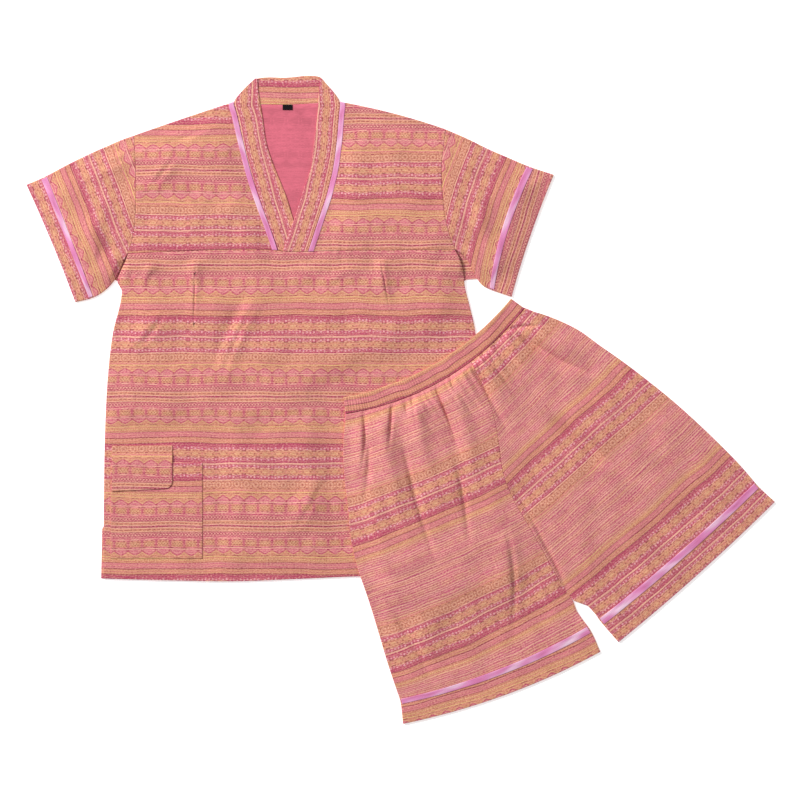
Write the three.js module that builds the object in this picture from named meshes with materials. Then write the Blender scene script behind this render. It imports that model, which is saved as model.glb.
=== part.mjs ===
// Short-sleeved wrap-neck top laid flat on a table, with gathered shorts lying over its lower corner.
// Millimetres, +Z up, +Y towards the neck. Left and right are those of someone looking down on the set.
import * as THREE from 'three';

// Cloth and the way its layers lie on each other
const WALL = 1.5;                       // jacquard with its turned seams
const TRIM_WALL = 1.0;                  // satin ribbon and the label
const SEAM = 0.3;                       // space between two pieces that are sewn together
const CURVED_SEAM = 0.5;                // the same where the edges follow a curve
const LAYER = WALL + SEAM;              // one layer laid on another
const STACK = 2 * LAYER;                // height of the shorts over the pressed top
const EDGE_INSET = 1.6;                 // where a folded edge starts to turn over
const INNER_TURN = { edge: WALL + 0.1, next: 1.4 };     // how far its inner face stays from the outer one
const BILLOW = 3.2;                     // how far the front stands off the back between its edges
const EASE = 45;                        // distance from an edge over which it rises to that
const CALM = { flat: 34, rise: 80 };    // the same beside the pocket and beside the shorts that lie on it

// Trim
const RIBBON = 9;                       // width of the satin ribbons on sleeves and legs
const COLLAR_RIBBON = 8;                // width of the ribbon along the collar seam
const LABEL = { width: 15, height: 8, x: -8.3, y: 217.6 };
const POCKET = { left: -274, right: -136, top: -316, bottom: -460 };
const FLAP = { left: -272, right: -181, top: -290, bottom: -359, corner: 12, slant: 4 };
const FLAP_STEP = { flat: 6, rise: 21 };        // it steps up onto the pocket this far below its top
const FLAP_ROWS = [0, 0.12, 0.24, 0.38, 0.6, 0.82, 0.91, 1];

// Where the garments lie in the set
const SHORTS_PLACE = { x: 201.4, y: -143.6, turn: 30.5 };   // from the middle of the top's yoke seam
const STEP = { flat: 12, fall: 60 };    // how the shorts come down beyond the top's edge

// Elastic waistband
const BAND_RIBS = 80;                   // gathers of the casing along the front
const RIB_HEIGHT = 0.7;
const BAND_BULGE = 1.2;
const BAND_BACK = 16;                   // its back keeps one of so many places along the front

// A table with named columns, a row for each section or fold
function table(names, rows) {
  const titles = names.split(' ');
  return rows.map((row) => Object.fromEntries(titles.map((title, i) => [title, row[i]])));
}

// Body under the yoke seam: how far down, and its two side edges
const BODY = table('down left right', [
  [0, -247.5, 243],
  [14, -252.5, 250],
  [28, -259.5, 254.5],
  [42, -263.5, 256.5],
  [56, -257, 258],
  [86, -262, 265.5],
  [116, -270, 272.5],
  [160, -276, 277.5],
  [220, -280.5, 281.5],
  [310, -283.5, 285],
  [412, -284.5, 287.5],
  [489, -286, 289.5],
]);
const VENT = { down: 412, beyond: 2.5 };        // the back shows past the front beside each side slit
const PIT = { down: 42, left: 0.44, right: 0.6, apart: 1.5 };  // the back's corner under each sleeve

// Armholes from the yoke seam up to the shoulder
const ARMHOLES = table('at leftX leftY rightX rightY', [
  [0, -249, -2, 244, 4],
  [0.12, -242, 16, 237, 19],
  [0.3, -237, 46, 229, 48],
  [0.5, -235.5, 84, 224.7, 85],
  [0.75, -236, 128, 223, 131],
  [1, -238.5, 175.5, 229.5, 184.5],
]);

// Collar bands at heights above the yoke seam: their seams to the yokes and their folded inner edges
const COLLAR = table('up leftSeam leftFold rightFold rightSeam', [
  [0, -23, 15, -15.3, 22.5],
  [28, -31.5, 6.5, -6.5, 31.5],
  [57, -42, -2, 4.2, 41],
  [82, -51, -9.6, 12, 49.3],
  [102, -57.7, -17.5, 18, 54.4],
  [125, -64.5, -27, 26, 59.7],
  [163, -74, -40, 31, 65],
  [206, -84, -46.5, 36.5, 68.7],
  [226, -88.5, -50, 37.5, 69.8],
  [239, -79.5, -52, 38.6, 62],
  [250, -69, -53, 39.3, 52.5],
  [261, -57, -53.8, 39.8, 42.5],
]);
const NECK_TOP = 226;                   // height of the shoulder's neck end
const SHOULDER_ARCH = { left: 0.5, right: 3.5 };        // rise of the shoulder line
const CROSSING = { flat: 62, fall: 100 };       // the right band lies on the left one up to here
const CROSSING_STEP = { start: -42, end: -16, fade: 30 };       // where the cloth around it steps up
const BACK_NECK = table('x bottom top', [
  [-86, 224, 228],
  [-72, 223.2, 245],
  [-56, 222.5, 260.5],
  [-10, 221.8, 262.5],
  [39, 224.5, 263.8],
  [54, 226, 247],
  [67, 228, 230],
]);

const NECK_OUTLINE = [[-88.5, 226], [-57, 261], [40, 262], [69.8, 226]];

// Lines that run across the body
const YOKE_SEAM = table('x y', [
  [-260, -2.4], [-165, 1.6], [-94, 4], [-35, 3.6], [0, 0.4], [60, 2.2], [150, 3], [255, 4],
]);
const HEM = table('x y', [
  [-300, -489.5], [-190, -492.6], [-87, -494], [20, -490], [110, -486.5], [300, -487.5],
]);
const HEM_PLACES = [200, 110, 20, -87, -190];

// Sleeves from the armhole out to the seam of the cuff band, and the cuff's edge
const SLEEVE_LEFT = table('out topX topY underX underY bow', [
  [0, -238.5, 175.5, -249, -3, 0],
  [0.14, -257, 169, -256.5, -17, 0],
  [0.3, -279, 159.5, -262.5, -31, 0],
  [0.48, -304, 148.5, -270, -44.5, 0],
  [0.72, -336, 133, -284.5, -59, 0],
  [1, -374, 113, -302.5, -69, -1],
  [1.25, -400.5, 101.5, -327, -75, -2],
]);
const SLEEVE_RIGHT = table('out topX topY underX underY bow', [
  [0, 229.5, 184.5, 244, 4, 0],
  [0.14, 247, 177, 256.5, -5.5, -2],
  [0.3, 266, 168.5, 265.5, -17.5, -4],
  [0.48, 290, 156.5, 273, -33, -6],
  [0.72, 322, 142.5, 282.5, -48, -8],
  [1, 355.5, 128.5, 297.5, -56.5, -8.5],
  [1.25, 391.5, 116.5, 328, -67, -3.5],
]);

const CUFF_EDGE = 1.25;
const ARMHOLE_HOLD = 0.6;               // how far out the armhole's curve still shows in the sleeve

// Waistband: half width and curve of its two edges, in the shorts' own frame, +Y towards the waist
const WAIST_TOP = { half: 146, edge: 0, middle: -26 };
const WAIST_SEAM = { half: 156, edge: -23, middle: -53.5 };
const GATHERED = { start: 24, end: 60, share: 0.5 };    // the cloth is held down between these depths

// Legs from the waist seam down to the seam of the hem band, and the hem's edge
const LEG_LEFT = table('down outerX outerY innerX innerY sag', [
  [0, -156, -23.3, 46, -51.1, 12.8],
  [0.12, -186, -67, 43, -92, 9],
  [0.24, -207, -107, 34, -138, 6],
  [0.36, -224, -146, 18, -182, 4],
  [0.48, -244, -188, 2, -222, 4],
  [0.6, -258, -233, -4, -265, 4],
  [0.7, -267, -276, -4.5, -309, 5],
  [0.8, -277.5, -321, -5, -352, 7],
  [0.9, -290, -371, -6, -395, 9],
  [0.96, -297.5, -405, -4, -437, 11],
  [0.978, -300.5, -420, -7, -456, 11.5],
  [1, -304, -436, -4, -487, 12],
  [1.1, -318, -468, -7.5, -525, 12],
]);
const LEG_RIGHT = table('down outerX outerY innerX innerY sag', [
  [0, 155.4, -23.3, 46, -51.1, 3.8],
  [0.12, 183, -54, 43, -92, 3],
  [0.24, 208, -90, 34, -138, 2],
  [0.36, 225, -128, 18, -182, 1],
  [0.48, 244, -170, 2, -222, 0],
  [0.6, 261, -212, -4, -265, 0],
  [0.7, 276, -252, -4.5, -309, 0],
  [0.8, 289, -292, -5, -352, 1],
  [0.9, 302, -337, -6, -395, 2],
  [0.96, 313, -380, -4, -437, 3],
  [0.978, 317.5, -402, 11.5, -457, 3.5],
  [1, 322, -428, 15.5, -486, 4],
  [1.1, 332.5, -464, 23, -526.5, 4],
]);

const LEG_HEM = 1.1;
const ABOVE_RIBBON = 0.978;
const INNER_OUTLINE = [[23, -526], [15, -486], [-4, -437], [-4, -487], [-8, -525]];

// Folds: from one end to the other, bent sideways in the middle, highest at the crest, troughs below zero
const FOLD_COLUMNS = 'x0 y0 x1 y1 bend width height crest';
const TOP_FOLDS = table(FOLD_COLUMNS, [
  [-146, -8, -150, -125, 0, 9, 4.5, 0.1],
  [131, -8, 147, -110, 0, 9, 4.5, 0.1],
  [-212, -14, -224, -74, 0, 9, 3, 0.2],
  [-42, -50, -112, -225, 10, 12, 3.2, 0.35],
  [-58, -50, -124, -205, 10, 11, -2.2, 0.35],
  [-186, -70, -252, -160, -6, 13, 3, 0.5],
  [30, -62, 108, -20, 0, 11, 2.5, 0.5],
  [222, -12, 250, -64, 0, 12, 3, 0.3],
  [78, -290, -14, -446, 0, 15, 2.6, 0.5],
  [-100, 206, -206, 172, -10, 10, 3, 0.4],
  [-206, 168, -330, 118, -6, 12, 3, 0.5],
  [-165, 154, -224, 82, 0, 12, 2.8, 0.5],
  [120, 140, 216, 78, 0, 12, 2.6, 0.5],
  [90, 214, 150, 197, 0, 8, 2, 0.5],
  [-276, 92, -302, -36, 8, 14, 2.6, 0.5],
  [-262, 20, -318, -42, 0, 12, -2, 0.3],
  [262, 120, 286, -20, -8, 15, 2.6, 0.5],
  [250, 60, 312, -30, 0, 12, -2, 0.3],
  [-20, -240, -170, -268, 10, 22, 1.6, 0.5],
  [190, -150, 120, -262, 0, 20, 2, 0.5],
]);
const SHORTS_FOLDS = table(FOLD_COLUMNS, [
  [-131, -36, -236, -190, -16, 12, -3.2, 0.15],
  [-147, -42, -226, -138, -10, 12, 3, 0.15],
  [-88, -48, -160, -325, 0, 13, -3.2, 0.1],
  [-110, -48, -186, -300, 6, 13, 3.6, 0.12],
  [-66, -50, -86, -92, 0, 8, -2.2, 0],
  [-52, -50, -104, -250, 10, 13, 3.8, 0.15],
  [-16, -52, -110, -312, -12, 11, -3.4, 0.3],
  [4, -50, -60, -250, -10, 13, 3.6, 0.25],
  [26, -48, 18, -120, 0, 10, 2.4, 0],
  [46, -60, 36, -200, 0, 10, -2.6, 0.1],
  [66, -44, 74, -170, 6, 12, 3.4, 0.1],
  [90, -42, 110, -104, 0, 9, -2.6, 0],
  [108, -38, 142, -150, 6, 12, 3, 0.1],
  [124, -32, 212, -180, 12, 12, -3.4, 0.25],
  [146, -30, 226, -160, 8, 13, 3, 0.3],
  [92, -146, 186, -360, 4, 16, -2.4, 0.4],
  [126, -150, 222, -350, 6, 18, 2.8, 0.4],
  [-246, -262, -254, -430, -6, 15, -2.2, 0.5],
  [-214, -262, -222, -430, -6, 18, 2.4, 0.5],
  [-22, -262, -128, -462, -10, 16, 2.8, 0.3],
  [-40, -300, -60, -440, 0, 18, -2, 0.5],
  [60, -300, 60, -450, 12, 20, 2.4, 0.5],
]);

// Numbers of sections
const ARM_STEPS = 8;
const YOKE_COLUMNS = 9;
const BODY_STEPS = { down: 19, across: 20 };
const SLEEVE_OUT = [0, 0.14, 0.3, 0.48, 0.66, 0.84];
const CROTCH = 0.96;                    // how far down a leg the centre seam ends
const LEG_STEPS = { down: 14, across: 13 };
const POCKET_STEPS = 6;

const JACQUARD = new THREE.MeshStandardMaterial({ color: 0xd58b80, roughness: 0.9, metalness: 0 });
const SATIN = new THREE.MeshStandardMaterial({ color: 0xe3a5cc, roughness: 0.4, metalness: 0 });
const LABEL_TAPE = new THREE.MeshStandardMaterial({ color: 0x1c1518, roughness: 0.8, metalness: 0 });

const { lerp, smoothstep } = THREE.MathUtils;
const at2 = (x, y) => new THREE.Vector2(x, y);
const steps = (count) => Array.from({ length: count + 1 }, (unused, i) => i / count);
const top = new THREE.Group();
const shorts = new THREE.Group();

// One column of a table at any place along its first column, on a smooth curve through the rows
function read(rows, column, wanted) {
  const key = Object.keys(rows[0])[0];
  const last = rows.length - 1;
  const place = THREE.MathUtils.clamp(wanted, rows[0][key], rows[last][key]);
  const found = rows.findIndex((row) => row[key] > place);
  const i = found < 0 ? last - 1 : Math.max(found - 1, 0);
  const slope = (k) => {
    const before = rows[Math.max(k - 1, 0)];
    const after = rows[Math.min(k + 1, last)];
    return (after[column] - before[column]) / (after[key] - before[key]);
  };
  const span = rows[i + 1][key] - rows[i][key];
  const u = (place - rows[i][key]) / span;
  const blend = u * u * (3 - 2 * u);
  const bendIn = u * (1 - u) * (1 - u) * span * slope(i);
  const bendOut = u * u * (1 - u) * span * slope(i + 1);
  return lerp(rows[i][column], rows[i + 1][column], blend) + bendIn - bendOut;
}

// Distance from an outline, below zero inside it
function outside(outline, place) {
  let nearest = Infinity;
  let inside = false;
  outline.forEach((a, i) => {
    const b = outline[(i + 1) % outline.length];
    const along = b.clone().sub(a);
    const off = place.clone().sub(a);
    const share = THREE.MathUtils.clamp(off.dot(along) / along.lengthSq(), 0, 1);
    nearest = Math.min(nearest, off.addScaledVector(along, -share).length());
    const crosses = (a.y > place.y) !== (b.y > place.y);
    if (crosses && place.x < a.x + ((place.y - a.y) / (b.y - a.y)) * (b.x - a.x)) inside = !inside;
  });
  return inside ? -nearest : nearest;
}

// Height that one fold adds at a place
function foldHeight(fold, place) {
  const along = at2(fold.x1 - fold.x0, fold.y1 - fold.y0);
  const length = along.length();
  along.divideScalar(length);
  const off = at2(place.x - fold.x0, place.y - fold.y0);
  const t = off.dot(along) / length;
  if (t < 0 || t > 1) return 0;
  const side = off.cross(along) - fold.bend * 4 * t * (1 - t);
  const rise = fold.crest > 0 ? smoothstep(t, 0, fold.crest) : 1;
  return fold.height * rise * (1 - smoothstep(t, fold.crest, 1)) * Math.exp(-((side / fold.width) ** 2));
}

const foldsAt = (folds, place) => folds.reduce((sum, fold) => sum + foldHeight(fold, place), 0);

// Edges of the top in plan
const armhole = (side, share) => at2(read(ARMHOLES, `${side}X`, share), read(ARMHOLES, `${side}Y`, share));
const yokeSeam = (x) => read(YOKE_SEAM, 'y', x);
const sleeveEdge = (sleeve, edge, out) => at2(read(sleeve, `${edge}X`, out), read(sleeve, `${edge}Y`, out));

function sleeveOutline(sleeve) {
  const outs = sleeve.map((row) => row.out).filter((out) => out > 0);
  const under = outs.map((out) => sleeveEdge(sleeve, 'under', out));
  const over = outs.map((out) => sleeveEdge(sleeve, 'top', out));
  return [...under, ...over.reverse(), sleeveEdge(sleeve, 'top', 0)];
}

function topOutline() {
  const downs = BODY.map((row) => row.down).filter((down) => down >= PIT.down);
  const leftSide = downs.map((down) => at2(read(BODY, 'left', down), -down)).reverse();
  const rightSide = downs.map((down) => at2(read(BODY, 'right', down), -down));
  const neck = NECK_OUTLINE.map(([x, y]) => at2(x, y));
  const rightArm = sleeveOutline(SLEEVE_RIGHT).reverse();
  return [...leftSide, ...sleeveOutline(SLEEVE_LEFT), ...neck, ...rightArm, ...rightSide];
}

const legEdge = (leg, edge, down) => at2(read(leg, `${edge}X`, down), read(leg, `${edge}Y`, down));

function shortsOutline() {
  const rightOuter = LEG_RIGHT.map((row) => at2(row.outerX, row.outerY));
  const leftOuter = LEG_LEFT.map((row) => at2(row.outerX, row.outerY)).reverse();
  const inner = INNER_OUTLINE.map(([x, y]) => at2(x, y));
  const waist = [at2(-WAIST_TOP.half, 0), at2(0, WAIST_TOP.middle), at2(WAIST_TOP.half, 0)];
  return [...waist, ...rightOuter, ...inner, ...leftOuter];
}

const TOP_OUTLINE = topOutline();
const SHORTS_OUTLINE = shortsOutline();
const SHORTS_TURN = THREE.MathUtils.degToRad(SHORTS_PLACE.turn);
const toShorts = (place) => at2(place.x - SHORTS_PLACE.x, place.y - SHORTS_PLACE.y)
  .rotateAround(at2(0, 0), -SHORTS_TURN);
const toTop = (place) => place.clone().rotateAround(at2(0, 0), SHORTS_TURN)
  .add(at2(SHORTS_PLACE.x, SHORTS_PLACE.y));

// How much of the relief is left beside the collar, under the shorts and around the pocket
function calm(place) {
  const middle = Math.max(place.y, 0);
  const beyondLeft = read(COLLAR, 'leftSeam', middle) - place.x;
  const beyondBand = Math.max(beyondLeft, place.x - read(COLLAR, 'rightSeam', middle));
  const fromBand = Math.hypot(Math.max(beyondBand, 0), Math.max(-place.y, 0));
  const dx = Math.max(POCKET.left - place.x, place.x - POCKET.right, 0);
  const dy = Math.max(POCKET.bottom - place.y, place.y - FLAP.top, 0);
  const pocket = smoothstep(Math.hypot(dx, dy), CALM.flat, CALM.rise);
  const pressed = smoothstep(outside(SHORTS_OUTLINE, toShorts(place)), CALM.flat, CALM.rise);
  return smoothstep(fromBand, 0, EASE) * pressed * pocket;
}

// The step of the right side where the right collar band lies on the left one
function crossingRise(place) {
  const beyondSeam = place.x - read(COLLAR, 'rightSeam', Math.max(place.y, 0));
  const up = 1 - smoothstep(place.y, CROSSING.flat, CROSSING.fall);
  const down = 1 - smoothstep(-place.y, 0, CROSSING_STEP.fade);
  const side = (1 - smoothstep(beyondSeam, 0, CROSSING_STEP.fade))
    * smoothstep(place.x, CROSSING_STEP.start, CROSSING_STEP.end);
  return LAYER * up * down * side;
}

// Underside of the top's front layer
function frontLevel(place) {
  const ease = smoothstep(-outside(TOP_OUTLINE, place), 0, EASE) * calm(place);
  const relief = Math.max(0, BILLOW + foldsAt(TOP_FOLDS, place));
  return LAYER + Math.max(ease * relief, crossingRise(place));
}

const bandLevel = (place) => LAYER + LAYER * (1 - smoothstep(place.y, CROSSING.flat, CROSSING.fall));

// Underside of the shorts' back layer, which lies on the top and comes down to the table beyond it
function shortsBase(place) {
  const spot = toTop(place);
  const dx = Math.max(spot.x - read(BODY, 'right', -spot.y), 0);
  const dy = Math.max(read(HEM, 'y', spot.x) - spot.y, 0);
  return STACK * (1 - smoothstep(Math.hypot(dx, dy), STEP.flat, STEP.fall));
}

function shortsLevel(place) {
  const ease = smoothstep(-outside(SHORTS_OUTLINE, place), 0, EASE);
  const billow = BILLOW * lerp(GATHERED.share, 1, smoothstep(-place.y, GATHERED.start, GATHERED.end));
  const relief = Math.max(0, billow + foldsAt(SHORTS_FOLDS, place));
  return shortsBase(place) + LAYER + ease * relief;
}

// Plan points across a panel, a straight row moved off by its bow
const across = (from, to, shares, bow = at2(0, 0)) => shares
  .map((t) => from.clone().lerp(to, t).addScaledVector(bow, 4 * t * (1 - t)));

const lifted = (spot, by) => new THREE.Vector3(spot.x, spot.y, spot.z + by);
const raised = (grid, by) => grid.map((row) => row.map((spot) => lifted(spot, by)));

// A wall over a grid of plan points
function laid(grid, level, wall = WALL) {
  const lower = grid.map((row) => row.map((place) => new THREE.Vector3(place.x, place.y, level(place))));
  return { lower, upper: raised(lower, wall) };
}

// A strip lying on the top faces of a panel, on some of its own points
const onto = (upper, wall) => ({ lower: raised(upper, SEAM), upper: raised(upper, SEAM + wall) });

// One closed body between two grids of points; in a closed ring the last column joins the first
function addBody(group, name, material, { upper, lower, ring = false }) {
  const rows = upper.length;
  const columns = upper[0].length;
  const points = [...upper.flat(), ...lower.flat()];
  const over = (i, j) => i * columns + (j % columns);
  const under = (i, j) => (rows + i) * columns + (j % columns);
  const faces = [];
  const quad = (a, b, c, d) => faces.push(a, b, c, a, c, d);
  const cells = ring ? columns : columns - 1;
  for (let i = 0; i < rows - 1; i += 1) {
    for (let j = 0; j < cells; j += 1) {
      quad(over(i, j), over(i, j + 1), over(i + 1, j + 1), over(i + 1, j));
      quad(under(i, j), under(i + 1, j), under(i + 1, j + 1), under(i, j + 1));
    }
    if (!ring) {
      quad(over(i, 0), over(i + 1, 0), under(i + 1, 0), under(i, 0));
      quad(over(i + 1, cells), over(i, cells), under(i, cells), under(i + 1, cells));
    }
  }
  for (let j = 0; j < cells; j += 1) {
    quad(over(0, j + 1), over(0, j), under(0, j), under(0, j + 1));
    quad(over(rows - 1, j), over(rows - 1, j + 1), under(rows - 1, j + 1), under(rows - 1, j));
  }
  let volume = 0;
  for (let k = 0; k < faces.length; k += 3) {
    volume += points[faces[k]].dot(points[faces[k + 1]].clone().cross(points[faces[k + 2]]));
  }
  const geometry = new THREE.BufferGeometry();
  geometry.setAttribute('position', new THREE.Float32BufferAttribute(points.flatMap((p) => p.toArray()), 3));
  geometry.setIndex(volume > 0 ? faces : faces.reverse());
  geometry.computeVertexNormals();
  const mesh = new THREE.Mesh(geometry, material);
  mesh.name = name;
  group.add(mesh);
}

// A tube pressed flat: front and back walls over rows of plan points, folded along both edges
function flattened(grid, base, level, { ribs = 0, backEvery = 1 } = {}) {
  const upper = [];
  const lower = [];
  grid.forEach((row) => {
    const last = row.length - 1;
    const inward = row[last].clone().sub(row[0]).normalize();
    const floor = row.map(base);
    const front = row.map(level);
    const middle = (j) => floor[j] + WALL + SEAM / 2;
    const spot = (j, z, inset) => {
      const place = row[j].clone().addScaledVector(inward, j < last / 2 ? inset : -inset);
      return new THREE.Vector3(place.x, place.y, z);
    };
    const back = row.map((unused, j) => j).filter((j) => j > 0 && j < last)
      .filter((j) => j === 1 || j === last - 1 || j % backEvery === 0).reverse();
    const inset = (j) => (j === 1 || j === last - 1 ? INNER_TURN.next : 0);
    const outer = [spot(0, middle(0), 0)];
    const inner = [spot(0, middle(0), INNER_TURN.edge)];
    for (let j = 1; j < last; j += 1) {
      outer.push(spot(j, front[j] + WALL + (j % 2 ? 0 : ribs), 0));
      inner.push(spot(j, front[j], inset(j)));
    }
    outer.push(spot(last, middle(last), 0));
    inner.push(spot(last, middle(last), INNER_TURN.edge));
    back.forEach((j) => {
      outer.push(spot(j, floor[j], 0));
      inner.push(spot(j, floor[j] + WALL, inset(j)));
    });
    upper.push(outer);
    lower.push(inner);
  });
  return { upper, lower, ring: true };
}

// Shares across a flattened tube, with a pair of points close to each folded edge
function tubeShares(count, width) {
  const near = EDGE_INSET / width;
  return [0, near, ...steps(count).slice(1, -1), 1 - near, 1];
}

const NO_LIFT = () => 0;

// Back of the body, flat on the table, cut to the body's sides, armholes, shoulders and neck
function backPlan(side) {
  const sign = side === 'left' ? -1 : 1;
  const sleeve = side === 'left' ? SLEEVE_LEFT : SLEEVE_RIGHT;
  const body = BODY.filter((row) => row.down >= PIT.down).reverse()
    .map((row) => at2(row[side] + (row.down >= VENT.down ? sign * VENT.beyond : 0), -row.down));
  const pit = [PIT[side], 0.3, 0.14]
    .map((out) => sleeveEdge(sleeve, 'under', out).add(at2(-sign * PIT.apart, -1)));
  const neckEnd = at2(read(COLLAR, `${side}Seam`, NECK_TOP) + sign, NECK_TOP - 1);
  const shoulder = across(armhole(side, 1), neckEnd, steps(4), at2(0, SHOULDER_ARCH[side]));
  return [...body, ...pit, ...steps(ARM_STEPS).map((share) => armhole(side, share)), ...shoulder.slice(1)];
}

function addBack() {
  const hem = HEM_PLACES.map((x) => at2(x, read(HEM, 'y', x)));
  const neck = BACK_NECK.map((row) => at2(row.x, row.bottom - SEAM));
  const outline = [...backPlan('left'), ...neck, ...backPlan('right').reverse(), ...hem];
  const geometry = new THREE.ExtrudeGeometry(new THREE.Shape(outline), { depth: WALL, bevelEnabled: false });
  const mesh = new THREE.Mesh(geometry, JACQUARD);
  mesh.name = 'top_back';
  top.add(mesh);
}

const onSeam = (place) => at2(place.x, yokeSeam(place.x) + SEAM / 2);

// A yoke between its armhole and the collar seam, its last strip as wide as the ribbon on it
function addYoke(side) {
  const sign = side === 'left' ? -1 : 1;
  const grid = steps(ARM_STEPS).map((share) => {
    const arm = armhole(side, share);
    const up = share * NECK_TOP;
    const seam = at2(read(COLLAR, `${side}Seam`, up) + sign * SEAM, up);
    const strip = 1 - COLLAR_RIBBON / arm.distanceTo(seam);
    const shares = [...steps(YOKE_COLUMNS - 1).map((t) => t * strip), 1];
    const row = across(arm, seam, shares, at2(0, SHOULDER_ARCH[side] * share));
    return share > 0 ? row : row.map(onSeam);
  });
  const cloth = laid(grid, frontLevel);
  addBody(top, `yoke_${side}`, JACQUARD, cloth);
  const strip = cloth.upper.map((row) => row.slice(-2));
  addBody(top, `collar_ribbon_${side}`, SATIN, onto(strip, TRIM_WALL));
}

function addCollar() {
  const overShoulder = COLLAR.map((row) => row.up).filter((up) => up > NECK_TOP);
  const ups = [...steps(ARM_STEPS).map((share) => share * NECK_TOP), ...overShoulder];
  const bandRow = (up, seam, fold) => {
    const from = at2(read(COLLAR, seam, up), up);
    const row = across(from, at2(read(COLLAR, fold, up), up), steps(3));
    return up > 0 ? row : row.map(onSeam);
  };
  const left = ups.map((up) => bandRow(up, 'leftSeam', 'leftFold'));
  const right = ups.map((up) => bandRow(up, 'rightSeam', 'rightFold'));
  addBody(top, 'collar_left', JACQUARD, laid(left, () => LAYER));
  addBody(top, 'collar_right', JACQUARD, laid(right, bandLevel));
  const back = BACK_NECK.map((row) => across(at2(row.x, row.bottom), at2(row.x, row.top), steps(2)));
  addBody(top, 'collar_back', JACQUARD, laid(back, NO_LIFT));
}

function lowerFrontGrid() {
  return steps(BODY_STEPS.down).map((share) => {
    const down = share * BODY[BODY.length - 1].down;
    const left = read(BODY, 'left', down);
    const right = read(BODY, 'right', down);
    return steps(BODY_STEPS.across).map((t) => {
      const x = lerp(left, right, t);
      return at2(x, lerp(yokeSeam(x) - SEAM / 2, read(HEM, 'y', x), share));
    });
  });
}

function addPocket() {
  const { left, right, top: upperEdge, bottom } = POCKET;
  const pocket = steps(POCKET_STEPS).map((share) => {
    const y = lerp(upperEdge, bottom, share);
    return across(at2(left, y), at2(right, y), steps(POCKET_STEPS));
  });
  addBody(top, 'pocket', JACQUARD, laid(pocket, () => 2 * LAYER));
  const flapLevel = (place) => LAYER * (2 + smoothstep(FLAP.top - place.y, FLAP_STEP.flat, FLAP_STEP.rise));
  const flap = FLAP_ROWS.map((share) => {
    const y = lerp(FLAP.top, FLAP.bottom, share);
    const turned = Math.max(0, FLAP.bottom + FLAP.corner - y);
    const cut = FLAP.corner - Math.sqrt(FLAP.corner ** 2 - turned ** 2);
    return across(at2(FLAP.left, y), at2(FLAP.right - cut, y + FLAP.slant * share), steps(POCKET_STEPS));
  });
  addBody(top, 'pocket_flap', JACQUARD, laid(flap, flapLevel));
}

function addLabel() {
  const { x, y, width, height } = LABEL;
  const row = (edge) => [at2(x - width / 2, edge), at2(x + width / 2, edge)];
  const grid = [row(y + height / 2), row(y - height / 2)];
  addBody(top, 'neck_label', LABEL_TAPE, laid(grid, () => LAYER, TRIM_WALL));
}

// Plan rows beside a seam line, moved along both edges towards the next line
function beside(seam, next, by) {
  const from = at2(0, 0).subVectors(next[0], seam[0]).setLength(by);
  const to = at2(0, 0).subVectors(next[next.length - 1], seam[seam.length - 1]).setLength(by);
  return seam.map((place, j) => place.clone().add(from.clone().lerp(to, j / (seam.length - 1))));
}

// A sleeve or leg ends in a band of its own, with a ribbon over the seam between them
function addBanded(group, names, inward, seamLine, hemLine, base, level) {
  const bandRows = [beside(seamLine, hemLine, SEAM / 2), beside(seamLine, hemLine, RIBBON / 2), hemLine];
  addBody(group, names.band, JACQUARD, flattened(bandRows, base, level));
  const ribbonRows = [beside(seamLine, inward, RIBBON / 2), seamLine, bandRows[1]]
    .map((row) => row.slice(1, -1).map((place) => new THREE.Vector3(place.x, place.y, level(place) + WALL)));
  addBody(group, names.ribbon, SATIN, onto(ribbonRows, TRIM_WALL));
}

// A sleeve starts along the armhole's curve, which straightens on the way out
function addSleeve(side) {
  const sign = side === 'left' ? -1 : 1;
  const sleeve = side === 'left' ? SLEEVE_LEFT : SLEEVE_RIGHT;
  const line = (out) => {
    const from = sleeveEdge(sleeve, 'top', out);
    const to = sleeveEdge(sleeve, 'under', out);
    const shares = tubeShares(ARM_STEPS, from.distanceTo(to));
    const hold = Math.max(0, 1 - out / ARMHOLE_HOLD) ** 2;
    const gap = at2(out > 0 ? 0 : sign * CURVED_SEAM, 0);
    return across(from, to, shares, at2(sign * read(sleeve, 'bow', out), 0)).map((place, j) => {
      const chord = armhole(side, 1).lerp(armhole(side, 0), shares[j]);
      const curve = armhole(side, 1 - shares[j]).sub(chord);
      return place.addScaledVector(curve, hold).add(gap);
    });
  };
  const seamLine = line(1);
  const inward = line(SLEEVE_OUT[SLEEVE_OUT.length - 1]);
  const ends = [beside(seamLine, inward, RIBBON / 2), beside(seamLine, inward, SEAM / 2)];
  const rows = [...SLEEVE_OUT.map(line), ...ends];
  addBody(top, `sleeve_${side}`, JACQUARD, flattened(rows, NO_LIFT, frontLevel));
  const names = { band: `cuff_band_${side}`, ribbon: `sleeve_ribbon_${side}` };
  addBanded(top, names, inward, seamLine, line(CUFF_EDGE), NO_LIFT, frontLevel);
}

// Edge curve of the waistband at a place across it
function waistEdge(line, x) {
  return lerp(line.middle, line.edge, (x / line.half) ** 2);
}

function addWaistband() {
  const shares = tubeShares(2 * BAND_RIBS, 2 * WAIST_TOP.half);
  const rowAt = (down) => shares.map((t) => {
    const upper = lerp(-WAIST_TOP.half, WAIST_TOP.half, t);
    const seam = lerp(-WAIST_SEAM.half, WAIST_SEAM.half, t);
    const y = lerp(waistEdge(WAIST_TOP, upper), waistEdge(WAIST_SEAM, seam) + SEAM, down);
    return at2(lerp(upper, seam, down), y);
  });
  const level = (place) => shortsBase(place) + LAYER + BAND_BULGE;
  const band = flattened([0, 1].map(rowAt), shortsBase, level, { ribs: RIB_HEIGHT, backEvery: BAND_BACK });
  addBody(shorts, 'waistband', JACQUARD, band);
}

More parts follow.
